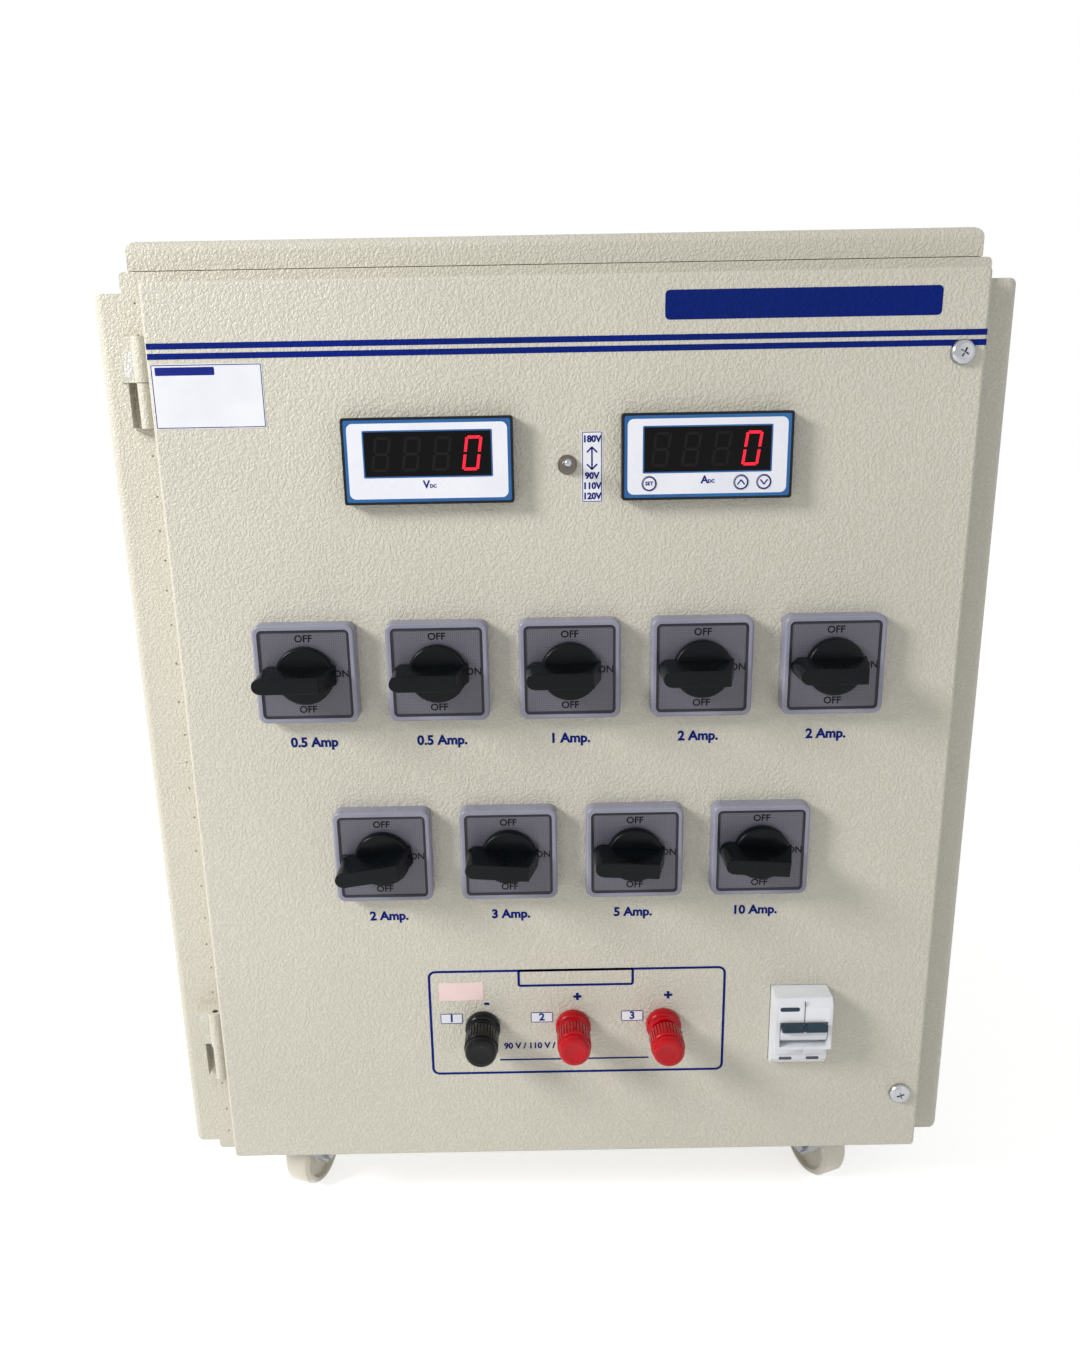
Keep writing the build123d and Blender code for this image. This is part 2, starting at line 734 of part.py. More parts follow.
def breaker_body():
    """Two poles side by side, with a stepped nose through the door."""
    x, z = breaker_place()
    nose = -breaker_projection
    step = -breaker_step
    back = breaker_back_depth
    over = (breaker_back_height - breaker_nose_height) / 2
    behind = sheet + 4.0
    profile = [
        (back, -over), (back, breaker_nose_height + over), (behind, breaker_nose_height + over),
        (behind, breaker_nose_height), (nose + 3.0, breaker_nose_height),
        (nose, breaker_nose_height - 5.0), (nose, breaker_shoulder),
        (step, breaker_shoulder), (step, 6.0), (step + 5.0, 0.0), (behind, 0.0), (behind, -over),
    ]
    plane = Plane(origin=(x - breaker_width / 2, door_face_y, z), x_dir=(0, 1, 0), z_dir=(1, 0, 0))
    body = extrude(plane * make_face(Polyline(*profile, close=True)), breaker_width)
    seam = block((x - 0.2, door_face_y + nose - 1, z - over), (x + 0.2, door_face_y + nose + 0.6, z + 60))
    middle = handle_axis()
    window = block(
        (x - breaker_width / 2 + 2.5, door_face_y + nose - 1, z + breaker_window_low),
        (x + breaker_width / 2 - 2.5, door_face_y + nose + 9.0, z + breaker_window_high),
    )
    drum = Pos(x, middle[0], middle[1]) * Rot(0, 90, 0) * Cylinder(handle_radius + 0.4, breaker_width - 5.0)
    return body - seam - window - drum


def handle_axis():
    """(y, z) of the breaker handle's pivot."""
    z = door_low_z + breaker_bottom + (breaker_window_low + breaker_window_high) / 2
    return door_face_y - breaker_projection + handle_radius - 0.5, z


def breaker_handle():
    """Tied handle of both poles, thrown up."""
    x = breaker_place()[0]
    y, z = handle_axis()
    drum = Rot(0, 90, 0) * Cylinder(handle_radius, breaker_width - 6.0)
    paddle = block((-breaker_width / 2 + 3.0, -handle_radius - 6.0, -2.8),
                   (breaker_width / 2 - 3.0, 0, 2.8))
    paddle = fillet(paddle.edges().filter_by(Axis.X).group_by(Axis.Y)[0], 1.5)
    return Pos(x, y, z) * Rot(-handle_throw / 2, 0, 0) * (drum + paddle)


# ---- resistors -----------------------------------------------------------------------
def resistor_places():
    """(y, z) of each resistor's axis."""
    return [
        (door_face_y + rack_start + column * resistor_pitch_y,
         body_low_z + rack_base_rise + row * resistor_pitch_z)
        for column in range(resistor_columns)
        for row in range(resistor_rows)
    ]


def resistor_rack():
    """Two upright end plates on feet, joined by the rods that hold the resistors."""
    plates = []
    ys = [y for y, _ in resistor_places()]
    zs = [z for _, z in resistor_places()]
    margin = resistor_radius + 8.0
    for side in (-1, 1):
        inner_x = side * resistor_length / 2
        outer_x = inner_x + side * rack_plate
        plate = block(
            (min(inner_x, outer_x), min(ys) - margin, body_low_z + sheet),
            (max(inner_x, outer_x), max(ys) + margin, max(zs) + margin),
        )
        foot = block(
            (min(inner_x, inner_x + side * 25), min(ys) - margin, body_low_z + sheet),
            (max(inner_x, inner_x + side * 25), max(ys) + margin, body_low_z + sheet + rack_plate),
        )
        plate = plate + foot
        for y, z in resistor_places():
            plate = plate - Pos(inner_x, y, z) * Rot(0, 90, 0) * Cylinder(resistor_stud_radius, 4 * rack_plate)
        plates.append(plate)
    return plates


def resistor_rods():
    length = resistor_length + 2 * rack_plate + 10
    return [Pos(0, y, z) * Rot(0, 90, 0) * Cylinder(resistor_stud_radius, length) for y, z in resistor_places()]


def resistor_tubes():
    tubes = []
    for y, z in resistor_places():
        tube = Cylinder(resistor_radius, resistor_length)
        ends = Cylinder(resistor_radius + 1.5, resistor_length - 16) - Cylinder(
            resistor_radius + 2, resistor_length - 30)
        tube = tube + ends - Cylinder(resistor_stud_radius, resistor_length + 2)
        tubes.append(Pos(0, y, z) * Rot(0, 90, 0) * tube)
    return tubes


# ---- fans ----------------------------------------------------------------------------
def fan_centres():
    return [(side * fan_pitch / 2, body_low_z + fan_rise) for side in (-1, 1)]


def fan_frame(x, z):
    """Square frame with a round duct and a motor boss on three struts."""
    rear = body_rear_y - sheet
    front = rear - fan_depth
    frame = extrude(facing(x, z, rear) * RectangleRounded(fan_size, fan_size, 6), fan_depth)
    frame = frame - rod_y(fan_bore_radius, x, z, front - 1, rear + 1)
    boss = rod_y(fan_hub_radius - 1, x, z, front, front + 6)
    for k in range(3):
        strut = Rot(0, k * 120, 0) * block((0, front, -3.5), (fan_bore_radius + 2, front + 5, 3.5))
        boss = boss + Pos(x, 0, z) * strut
    shaft = rod_y(2.0, x, z, front + 5, rear - 8)
    return frame + boss + shaft


def fan_rotor(x, z):
    """Hub and twisted blades on the motor's shaft."""
    rear = body_rear_y - sheet
    hub_front = rear - fan_depth + 6.5
    hub_rear = rear - 6.0
    hub = rod_y(fan_hub_radius, x, z, hub_front, hub_rear)
    hub = fillet(hub.edges().sort_by(Axis.Y)[-1], 2)
    length = fan_bore_radius - fan_tip_clearance
    for k in range(fan_blades):
        blade = Pos((fan_hub_radius + length) / 2 - 1, 0, 0) * Rot(38, 0, 0) * Box(
            length - fan_hub_radius + 2, 30, 1.8)
        duct = Rot(90, 0, 0) * Cylinder(length, 2 * (hub_rear - hub_front))
        blade = blade & duct
        middle = (hub_front + hub_rear) / 2
        hub = hub + Pos(x, middle, z) * Rot(0, k * 360 / fan_blades, 0) * blade
    return hub - rod_y(2.05, x, z, hub_front - 1, hub_rear - 2)


def fan_guard(x, z):
    """Wire finger guard on the outside of the rear panel."""
    rings = None
    for radius in (18.0, 34.0, 50.0):
        ring = extrude(facing(x, z, body_rear_y + guard_projection) * Circle(radius + guard_wire / 2)
                       - facing(x, z, body_rear_y + guard_projection) * Circle(radius - guard_wire / 2), guard_wire)
        rings = ring if rings is None else rings + ring
    for k in range(2):
        bar = Rot(0, 45 + k * 90, 0) * block(
            (-66, body_rear_y + guard_projection - 2 * guard_wire, -guard_wire / 2),
            (66, body_rear_y + guard_projection - guard_wire, guard_wire / 2))
        rings = rings + Pos(x, 0, z) * bar
    for k in range(4):
        ear = Rot(0, 45 + k * 90, 0) * block(
            (62, body_rear_y, -4), (70, body_rear_y + guard_projection - guard_wire, 4))
        rings = rings + Pos(x, 0, z) * ear
    return rings


# ---- casters -------------------------------------------------------------------------
def caster_places():
    x = body_width / 2 - caster_inset_x
    front = body_front_y + caster_inset_y
    rear = body_rear_y - caster_inset_y
    return {
        "front_left": (-x, front), "front_right": (x, front),
        "rear_left": (-x, rear), "rear_right": (x, rear),
    }


def caster_plate_piece(x, y):
    """Top plate with the upper ball race and the kingpin riveted through it."""
    top = caster_height
    plate = Pos(x, y, top - caster_plate_thickness / 2) * extrude(
        RectangleRounded(caster_plate, caster_plate, 6), caster_plate_thickness / 2, both=True)
    race = Pos(x, y, top - caster_plate_thickness - 2.0) * Cylinder(19.0, 4.0)
    pin_low = fork_top() - fork_sheet - 4.0
    pin = Pos(x, y, (pin_low + top - 3) / 2) * Cylinder(kingpin_radius, top - 3 - pin_low)
    head = Pos(x, y, pin_low - 1.0) * Cylinder(kingpin_radius + 3.0, 2.0)
    plate = plate + race + pin + head
    for bolt_x, bolt_y in caster_bolt_places():
        plate = plate - Pos(bolt_x, bolt_y, top) * Cylinder(caster_bolt_radius + 0.2, 20)
    return plate


def fork_top():
    return caster_height - caster_plate_thickness - 4.0 - 0.3


def caster_fork(x, y, heading):
    """Pressed fork: a round crown, and two legs that taper down to the axle."""
    top = fork_top()
    crown = Pos(0, 0, top - fork_sheet / 2) * Cylinder(20.0, fork_sheet)
    half = wheel_width / 2 + fork_gap
    width = 2 * (half + fork_sheet)
    leg_plane = Plane(origin=(0, half, 0), x_dir=(1, 0, 0), z_dir=(0, -1, 0))
    crown_z = top - fork_sheet
    outline = make_face(Polyline(
        (-15, crown_z + 0.5), (15, crown_z + 0.5), (caster_trail + 9, wheel_radius + 3),
        (caster_trail + 9, wheel_radius - 3), (caster_trail + 3, wheel_radius - 9),
        (caster_trail - 3, wheel_radius - 9), (-15, crown_z - 9), close=True))
    leg = extrude(leg_plane * outline, -fork_sheet)
    legs = leg + mirror(leg, Plane.XZ)
    bridge = Pos(0, 0, top - fork_sheet / 2) * Box(30, width, fork_sheet)
    fork = crown + bridge + legs
    fork = fork - Pos(0, 0, top) * Cylinder(kingpin_radius + 0.05, 20)
    fork = fork - Pos(caster_trail, 0, wheel_radius) * Rot(90, 0, 0) * Cylinder(axle_radius, 2 * width)
    return Pos(x, y, 0) * Rot(0, 0, heading) * fork


def caster_axle(x, y, heading):
    half = wheel_width / 2 + fork_gap + fork_sheet
    axle = Rot(90, 0, 0) * Cylinder(axle_radius, 2 * half)
    head = Pos(0, -half - 1.5, 0) * Rot(90, 0, 0) * extrude(RegularPolygon(6.8, 6), 1.5, both=True)
    nut = Pos(0, half + 1.5, 0) * Rot(90, 0, 0) * extrude(RegularPolygon(6.8, 6), 1.5, both=True)
    return Pos(x, y, 0) * Rot(0, 0, heading) * Pos(caster_trail, 0, wheel_radius) * (axle + head + nut)


def caster_wheel(x, y, heading):
    """Nylon wheel: a crowned tread, dished sides and a hub."""
    half = wheel_width / 2
    profile = Polyline(
        (wheel_bore_radius, -half), (9.0, -half), (10.5, -half + 3.0), (wheel_radius - 6.0, -half + 3.0),
        (wheel_radius - 4.5, -half), (wheel_radius - 2.0, -half), (wheel_radius, -half + 2.5),
        (wheel_radius, half - 2.5), (wheel_radius - 2.0, half), (wheel_radius - 4.5, half),
        (wheel_radius - 6.0, half - 3.0), (10.5, half - 3.0), (9.0, half), (wheel_bore_radius, half), close=True)
    wheel = revolve(Plane.XZ * make_face(profile), Axis.Z)
    return Pos(x, y, 0) * Rot(0, 0, heading) * Pos(caster_trail, 0, wheel_radius) * Rot(90, 0, 0) * wheel


def caster_bolts():
    low = caster_height - caster_plate_thickness
    high = caster_height + sheet
    head = Pos(0, 0, low - 3.0) * extrude(RegularPolygon(5.5, 6), 3.0)
    nut = Pos(0, 0, high) * extrude(RegularPolygon(5.5, 6), 3.0)
    shank = Pos(0, 0, (low + high) / 2) * Cylinder(caster_bolt_radius, high - low + 2.0)
    return [Pos(x, y, 0) * (head + nut + shank) for x, y in caster_bolt_places()]


# ---- all nodes -----------------------------------------------------------------------
def build():
    meters = meter_centres()
    nodes = {
        "cabinet_body": [cabinet_body()],
        "rear_panel": [rear_panel()],
        "left_side_cover": [side_cover(-1)],
        "right_side_cover": [side_cover(1)],
        "top_cover": [top_cover()],
        "cover_screws": cover_screws(),
        "hinge_body_leaves": hinge_body_leaves(),
        "hinge_pins": hinge_pins(),
        "resistor_rack": resistor_rack(),
        "resistor_rods": resistor_rods(),
        "resistor_tubes": resistor_tubes(),
        "fan_frames": [fan_frame(x, z) for x, z in fan_centres()],
        "fan_guards": [fan_guard(x, z) for x, z in fan_centres()],
        "caster_plates": [caster_plate_piece(x, y) for x, y in caster_places().values()],
        "caster_bolts": caster_bolts(),
        "door_panel": [door_panel()],
        "door_gasket": [door_gasket()],
        "hinge_door_leaves": hinge_door_leaves(),
        "lower_door_screw": [door_screws()[0]],
        "upper_door_screw": [door_screws()[1]],
        "voltmeter_case": [meter_case(*meters[0], False)],
        "voltmeter_window": [meter_window(*meters[0])],
        "ammeter_case": [meter_case(*meters[1], True)],
        "ammeter_window": [meter_window(*meters[1])],
        "toggle_body": [toggle_body()],
        "toggle_lever": [toggle_lever()],
        "switch_plates": [switch_plate(x, z) for x, z in switch_centres()],
        "switch_bodies": [switch_body(x, z) for x, z in switch_centres()],
        "post_bases": [post_base(x, z) for x, z in post_centres()],
        "post_studs": [post_stud(x, z) for x, z in post_centres()],
        "breaker_body": [breaker_body()],
        "breaker_handle": [breaker_handle()],
    }
    for name, offset in key_offsets.items():
        nodes[f"ammeter_{name}_key"] = [meter_key(*meters[1], offset)]
    for k, (x, z) in enumerate(switch_centres(), 1):
        nodes[f"switch_knob_{k}"] = [knob(x, z)]
    for k, (x, z) in enumerate(post_centres(), 1):
        gap = post_cap_gap + (post_open_gap if k == 3 else 0)
        nodes[f"post_cap_{k}"] = [post_cap(x, z, gap)]
    for side, (x, z) in zip(("left", "right"), fan_centres()):
        nodes[f"{side}_fan_rotor"] = [fan_rotor(x, z)]
    for name, (x, y) in caster_places().items():
        heading = caster_headings[name]
        nodes[f"{name}_fork"] = [caster_fork(x, y, heading), caster_axle(x, y, heading)]
        nodes[f"{name}_wheel"] = [caster_wheel(x, y, heading)]
    return nodes


os.makedirs("parts", exist_ok=True)
for node, solids in build().items():
    pieces = [s for piece in solids for s in piece.solids()]
    export_step(Compound(children=pieces) if len(pieces) > 1 else pieces[0], f"parts/{node}.step")
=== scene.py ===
"""Generator load bank: the looks of the cabinet, its door fittings and its casters."""

import math

import bpy
from bpy.props import FloatProperty, FloatVectorProperty, PointerProperty
from mathutils import Matrix, Vector


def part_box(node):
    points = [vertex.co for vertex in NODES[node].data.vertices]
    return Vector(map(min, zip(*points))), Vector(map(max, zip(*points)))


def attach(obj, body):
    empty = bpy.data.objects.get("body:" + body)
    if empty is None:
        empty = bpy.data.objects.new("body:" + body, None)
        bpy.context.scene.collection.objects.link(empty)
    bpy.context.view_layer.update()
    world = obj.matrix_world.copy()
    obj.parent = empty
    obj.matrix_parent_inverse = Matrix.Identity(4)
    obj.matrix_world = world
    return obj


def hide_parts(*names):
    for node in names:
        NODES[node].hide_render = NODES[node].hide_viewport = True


bl_info = {
    "name": "Generator load bank",
    "version": (1, 0, 0),
    "blender": (4, 5, 0),
    "location": "3D View > Sidebar > Load bank",
    "description": "Finishes a load bank's cabinet, door, meters, switches, posts and casters",
    "category": "Object",
}

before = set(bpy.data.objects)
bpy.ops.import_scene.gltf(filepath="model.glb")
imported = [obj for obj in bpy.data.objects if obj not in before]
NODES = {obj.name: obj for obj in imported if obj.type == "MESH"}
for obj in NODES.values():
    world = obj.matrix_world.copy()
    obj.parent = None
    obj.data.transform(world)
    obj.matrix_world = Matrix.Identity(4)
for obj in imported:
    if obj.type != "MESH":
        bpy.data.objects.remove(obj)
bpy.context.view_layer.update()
MM = 0.001
DOOR_LOW, DOOR_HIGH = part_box("door_panel")
FACE_Y = DOOR_LOW[1]
DOOR_X = (DOOR_LOW[0] + DOOR_HIGH[0]) / 2
DOOR_Z = DOOR_LOW[2]

# The camera stands off the door: across, up and out, in millimetres.
CAMERA_SPOT = (-17.7, 501.8, 598.4)
CAMERA_LENS = 27.54
CAMERA_DOWN = 15.19
CAMERA_ROLL = -1.027
SENSOR_WIDTH = 36.0


# ---- helpers for modelling ------------------------------------------------------------
def on_door(x, z, proud=0.0):
    """A place on the door, in millimetres from its centre line and lower edge."""
    return Vector((DOOR_X + x * MM, FACE_Y - proud * MM, DOOR_Z + z * MM))


def box_centre(node):
    low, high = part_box(node)
    return (Vector(low) + Vector(high)) / 2


def deselect():
    bpy.ops.object.select_all(action="DESELECT")


def keep_place():
    bpy.ops.object.transform_apply(location=True, rotation=True, scale=True)
    return bpy.context.active_object


def cuboid(centre, size):
    deselect()
    bpy.ops.mesh.primitive_cube_add(size=1, location=centre, scale=size)
    return keep_place()


def choose(piece, kind, test):
    """Edit mode on a piece, with only the parts that pass the test selected."""
    bpy.context.view_layer.objects.active = piece
    bpy.ops.object.mode_set(mode="EDIT")
    bpy.ops.mesh.select_mode(type=kind)
    bpy.ops.mesh.select_all(action="DESELECT")
    bpy.ops.object.mode_set(mode="OBJECT")
    mesh = piece.data
    if kind == "VERT":
        for vertex in mesh.vertices:
            vertex.select = test(vertex.co)
    elif kind == "EDGE":
        for edge in mesh.edges:
            a, b = (mesh.vertices[i].co for i in edge.vertices)
            edge.select = test(a, b)
    else:
        for face in mesh.polygons:
            face.select = test(face.center, face.normal)
    bpy.ops.object.mode_set(mode="EDIT")


def leave():
    bpy.ops.object.mode_set(mode="OBJECT")


def round_edges(piece, test, radius, segments):
    choose(piece, "EDGE", test)
    bpy.ops.mesh.bevel(offset=radius, segments=segments, affect="EDGES", clamp_overlap=True)
    leave()


def along_y(a, b):
    return abs(a.x - b.x) < 1e-7 and abs(a.z - b.z) < 1e-7


def soften(piece, width, segments=2, limit=35.0):
    """A small bevel on every sharp edge."""
    modifier = piece.modifiers.new("edges", "BEVEL")
    modifier.width = width
    modifier.segments = segments
    modifier.limit_method = "ANGLE"
    modifier.angle_limit = math.radians(limit)
    bpy.context.view_layer.objects.active = piece
    bpy.ops.object.modifier_apply(modifier=modifier.name)


def cut(piece, cutter):
    modifier = piece.modifiers.new("cut", "BOOLEAN")
    modifier.operation = "DIFFERENCE"
    modifier.solver = "EXACT"
    modifier.object = cutter
    bpy.context.view_layer.objects.active = piece
    bpy.ops.object.modifier_apply(modifier=modifier.name)
    bpy.data.objects.remove(cutter, do_unlink=True)


def smooth(piece, angle=30.0):
    deselect()
    piece.select_set(True)
    bpy.context.view_layer.objects.active = piece
    bpy.ops.object.shade_smooth_by_angle(angle=math.radians(angle))


def join(pieces):
    deselect()
    for piece in pieces:
        piece.select_set(True)
    bpy.context.view_layer.objects.active = pieces[0]
    bpy.ops.object.join()
    return pieces[0]


def place(piece, name, body, slot, material):
    """Names a finished piece, gives it its finish and lets it ride on its body."""
    piece.name = name
    piece.data.name = name
    if not len(piece.data.materials):
        piece.data.materials.append(material)
    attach(piece, body)
    return piece


def slab(x, z, width, height, radius, back, front):
    """A flat plate on the door with rounded corners, between two heights off its face."""
    centre = on_door(x, z, (back + front) / 2)
    piece = cuboid(centre, (width * MM, (front - back) * MM, height * MM))
    if radius:
        round_edges(piece, along_y, radius * MM, 6)
    return piece


def outline(x, z, width, height, radius, line, front, back=0.0):
    """A line of even width round a rounded rectangle."""
    outer = slab(x, z, width, height, radius, back, front)
    inner = slab(x, z, width - 2 * line, height - 2 * line, max(radius - line, 0.2), back - 1.0, front + 1.0)
    cut(outer, inner)
    return outer


def turned(centre, axis, profile, vertices=64):
    """A turned piece: rings of (radius, distance along the axis), both in millimetres."""
    turn = Vector((0, 0, 1)).rotation_difference(Vector(axis)).to_euler()
    deselect()
    start = Vector(centre) + Vector(axis) * profile[0][1] * MM
    bpy.ops.mesh.primitive_circle_add(
        vertices=vertices, radius=profile[0][0] * MM, fill_type="NGON", location=start, rotation=turn)
    piece = keep_place()
    bpy.ops.object.mode_set(mode="EDIT")
    bpy.ops.mesh.select_mode(type="FACE")
    bpy.ops.mesh.select_all(action="SELECT")
    for (radius, along), (next_radius, next_along) in zip(profile, profile[1:]):
        step = Vector(axis) * (next_along - along) * MM
        bpy.ops.mesh.extrude_region_move(TRANSFORM_OT_translate={"value": step})
        scale = next_radius / radius
        middle = Vector(centre) + Vector(axis) * next_along * MM
        bpy.ops.transform.resize(value=(scale, scale, scale), center_override=middle)
    bpy.ops.mesh.select_all(action="SELECT")
    bpy.ops.mesh.normals_make_consistent(inside=False)
    leave()
    return piece


def turned_on_door(x, z, profile, vertices=64):
    """A turned piece that stands out of the door: rings of (radius, height off its face)."""
    return turned(on_door(x, z), (0, -1, 0), profile, vertices)


def turn_about(piece, centre, degrees, axis="Y"):
    """Turns a piece about an axis through a place; without a window the operator turns the other way."""
    choose(piece, "VERT", lambda co: True)
    bpy.ops.transform.rotate(value=-math.radians(degrees), orient_axis=axis, center_override=centre)
    leave()


def lettering(text, x, z, size, proud, weight=0.0, lean=0.0, align="CENTER"):
    """Flat letters on the door, a tenth of a millimetre thick."""
    deselect()
    bpy.ops.object.text_add()
    letters = bpy.context.active_object
    letters.data.body = text
    letters.data.size = size * MM
    letters.data.align_x = align
    letters.data.align_y = "CENTER"
    letters.data.offset = weight * MM
    letters.data.shear = lean
    letters.data.extrude = 0.05 * MM
    letters.data.resolution_u = 3
    deselect()
    letters.select_set(True)
    bpy.context.view_layer.objects.active = letters
    bpy.ops.object.convert(target="MESH")
    letters = bpy.context.active_object
    letters.rotation_euler = (math.pi / 2, 0, 0)
    letters.location = on_door(x, z, proud)
    return keep_place()


# ---- helpers for materials ------------------------------------------------------------
def linear(red, green, blue):
    """A screen colour, 0 to 255, as the shader's own."""
    values = []
    for channel in (red, green, blue):
        value = channel / 255
        values.append(value / 12.92 if value <= 0.04045 else ((value + 0.055) / 1.055) ** 2.4)
    return (*values, 1.0)


def feed(tree, value, socket):
    """Sets a socket to a value, or links it to the socket that the value is."""
    if isinstance(value, bpy.types.NodeSocket):
        tree.links.new(value, socket)
    else:
        socket.default_value = value


def add_node(tree, kind, **values):
    """A node with its inputs fed by name, an underscore standing for a space."""
    node = tree.nodes.new(kind)
    for name, value in values.items():
        feed(tree, value, node.inputs[name.replace("_", " ")])
    return node


def add_maths(tree, operation, first, second):
    node = tree.nodes.new("ShaderNodeMath")
    node.operation = operation
    feed(tree, first, node.inputs[0])
    feed(tree, second, node.inputs[1])
    return node.outputs["Value"]


def add_mix(tree, factor, first, second, blend="MIX"):
    node = tree.nodes.new("ShaderNodeMix")
    node.data_type = "RGBA"
    node.blend_type = blend
    for name, value in (("Factor", factor), ("A", first), ("B", second)):
        feed(tree, value, node.inputs[name])
    return node.outputs["Result"]


def new_group(name, inputs, outputs):
    """A node group with its sockets, and the nodes at its two ends."""
    group = bpy.data.node_groups.new(name, "ShaderNodeTree")
    for socket, default in inputs.items():
        kind = "NodeSocketColor" if isinstance(default, tuple) else "NodeSocketFloat"
        group.interface.new_socket(name=socket, in_out="INPUT", socket_type=kind).default_value = default
    for socket, kind in outputs.items():
        group.interface.new_socket(name=socket, in_out="OUTPUT", socket_type=f"NodeSocket{kind}")
    start, end = (group.nodes.new(kind) for kind in ("NodeGroupInput", "NodeGroupOutput"))
    return group, start.outputs, end.inputs


def pebble_group():
    """Raised pebbles of a textured powder coat: a normal, and a mask of the pebbles' tops."""
    group, given, result = new_group(
        "pebbled_coat", {"Pebbles per metre": 480.0, "Height": 0.4}, {"Normal": "Vector", "Top": "Float"})
    where = add_node(group, "ShaderNodeTexCoord").outputs["Object"]
    noise = add_node(
        group, "ShaderNodeTexNoise", Vector=where, Scale=given["Pebbles per metre"], Detail=1.5,
        Roughness=0.45, Distortion=0.6)
    rise = add_node(group, "ShaderNodeMapRange", Value=noise.outputs["Fac"], From_Min=0.36, From_Max=0.62)
    rise.interpolation_type = "SMOOTHSTEP"
    bump = add_node(
        group, "ShaderNodeBump", Height=rise.outputs["Result"], Strength=given["Height"], Distance=0.0007)
    feed(group, bump.outputs["Normal"], result["Normal"])
    feed(group, rise.outputs["Result"], result["Top"])
    return group


def drift_group():
    """Slow change between two colours over a surface."""
    group, given, result = new_group(
        "colour_drift",
        {"Colour": (0.8, 0.8, 0.8, 1.0), "Other colour": (0.7, 0.7, 0.7, 1.0), "Patches per metre": 8.0},
        {"Colour": "Color"})
    where = add_node(group, "ShaderNodeTexCoord").outputs["Object"]
    noise = add_node(group, "ShaderNodeTexNoise", Vector=where, Scale=given["Patches per metre"], Detail=4.0)
    spread = add_node(group, "ShaderNodeMapRange", Value=noise.outputs["Fac"], From_Min=0.35, From_Max=0.65)
    mixed = add_mix(group, spread.outputs["Result"], given["Colour"], given["Other colour"])
    feed(group, mixed, result["Colour"])
    return group


def grid_group():
    """A fine square grid, as on a moulded lens: a mask that falls to nothing on the lines."""
    group, given, result = new_group("fine_grid", {"Lines per metre": 1000.0}, {"Mask": "Float"})
    where = add_node(group, "ShaderNodeTexCoord").outputs["Object"]
    split = add_node(group, "ShaderNodeSeparateXYZ", Vector=where)
    waves = []
    for axis in ("X", "Z"):
        scaled = add_maths(group, "MULTIPLY", split.outputs[axis], given["Lines per metre"])
        waves.append(add_maths(group, "PINGPONG", scaled, 0.5))
    feed(group, add_maths(group, "MINIMUM", *waves), result["Mask"])
    return group


def grain_group():
    """Fine moulding grain: a normal and a roughness."""
    group, given, result = new_group(
        "moulded_grain",
        {"Grains per metre": 1800.0, "Height": 0.15, "Smoothest": 0.3, "Roughest": 0.5},
        {"Normal": "Vector", "Roughness": "Float"})
    where = add_node(group, "ShaderNodeTexCoord").outputs["Object"]
    fine = add_node(group, "ShaderNodeTexNoise", Vector=where, Scale=given["Grains per metre"])
    bump = add_node(
        group, "ShaderNodeBump", Height=fine.outputs["Fac"], Strength=given["Height"], Distance=0.0001)
    slow = add_node(group, "ShaderNodeTexNoise", Vector=where, Scale=60.0, Detail=3.0)
    spread = add_node(
        group, "ShaderNodeMapRange", Value=slow.outputs["Fac"], From_Min=0.35, From_Max=0.65,
        To_Min=given["Smoothest"], To_Max=given["Roughest"])
    feed(group, bump.outputs["Normal"], result["Normal"])
    feed(group, spread.outputs["Result"], result["Roughness"])
    return group


GROUP_MAKERS = {
    "pebbled_coat": pebble_group,
    "colour_drift": drift_group,
    "fine_grid": grid_group,
    "moulded_grain": grain_group,
}


def place_group(tree, name, **values):
    """A shared effect in a material, with its own values."""
    group = bpy.data.node_groups.get(name) or GROUP_MAKERS[name]()
    node = tree.nodes.new("ShaderNodeGroup")
    node.node_tree = group
    for socket, value in values.items():
        feed(tree, value, node.inputs[socket.replace("_", " ")])
    return node.outputs


def new_material(name, roughness=0.4, metallic=0.0, gloss=0.5):
    """A material with its node tree, and the inputs of its shader."""
    material = bpy.data.materials.new(f"{name}_finish")
    material.use_nodes = True
    shader = material.node_tree.nodes["Principled BSDF"]
    shader.inputs["Roughness"].default_value = roughness
    shader.inputs["Metallic"].default_value = metallic
    shader.inputs["Specular IOR Level"].default_value = gloss
    return material, material.node_tree, shader.inputs


def coat(name, colour, other, hollow_shade=0.95, height=0.42, pebbles=620.0, roughness=0.4, gloss=0.5):
    """A textured coat: pebbles, with painted shade that darkens the hollows between them."""
    material, tree, shader = new_material(name, roughness, gloss=gloss)
    drift = place_group(tree, "colour_drift", Colour=colour, Other_colour=other, Patches_per_metre=5.0)
    pebble = place_group(tree, "pebbled_coat", Pebbles_per_metre=pebbles, Height=height)
    # Painted shade: the colour is multiplied darker where the pebbles fall away, in the hollows between them.
    depth = add_maths(tree, "SUBTRACT", 1.0, pebble["Top"])
    shade = add_mix(tree, depth, drift["Colour"], (hollow_shade, hollow_shade, hollow_shade * 0.98, 1), "MULTIPLY")
    feed(tree, shade, shader["Base Color"])
    feed(tree, pebble["Normal"], shader["Normal"])
    return material


def moulded(name, colour, other, smoothest=0.25, roughest=0.45, height=0.15, metallic=0.0, gloss=0.5):
    """A moulded, plated or painted finish: two close colours, fine grain and uneven gloss."""
    material, tree, shader = new_material(name, metallic=metallic, gloss=gloss)
    drift = place_group(
        tree, "colour_drift", Colour=linear(*colour), Other_colour=linear(*other), Patches_per_metre=30.0)
    grain = place_group(tree, "moulded_grain", Height=height, Smoothest=smoothest, Roughest=roughest)
    feed(tree, drift["Colour"], shader["Base Color"])
    feed(tree, grain["Normal"], shader["Normal"])
    feed(tree, grain["Roughness"], shader["Roughness"])
    return material


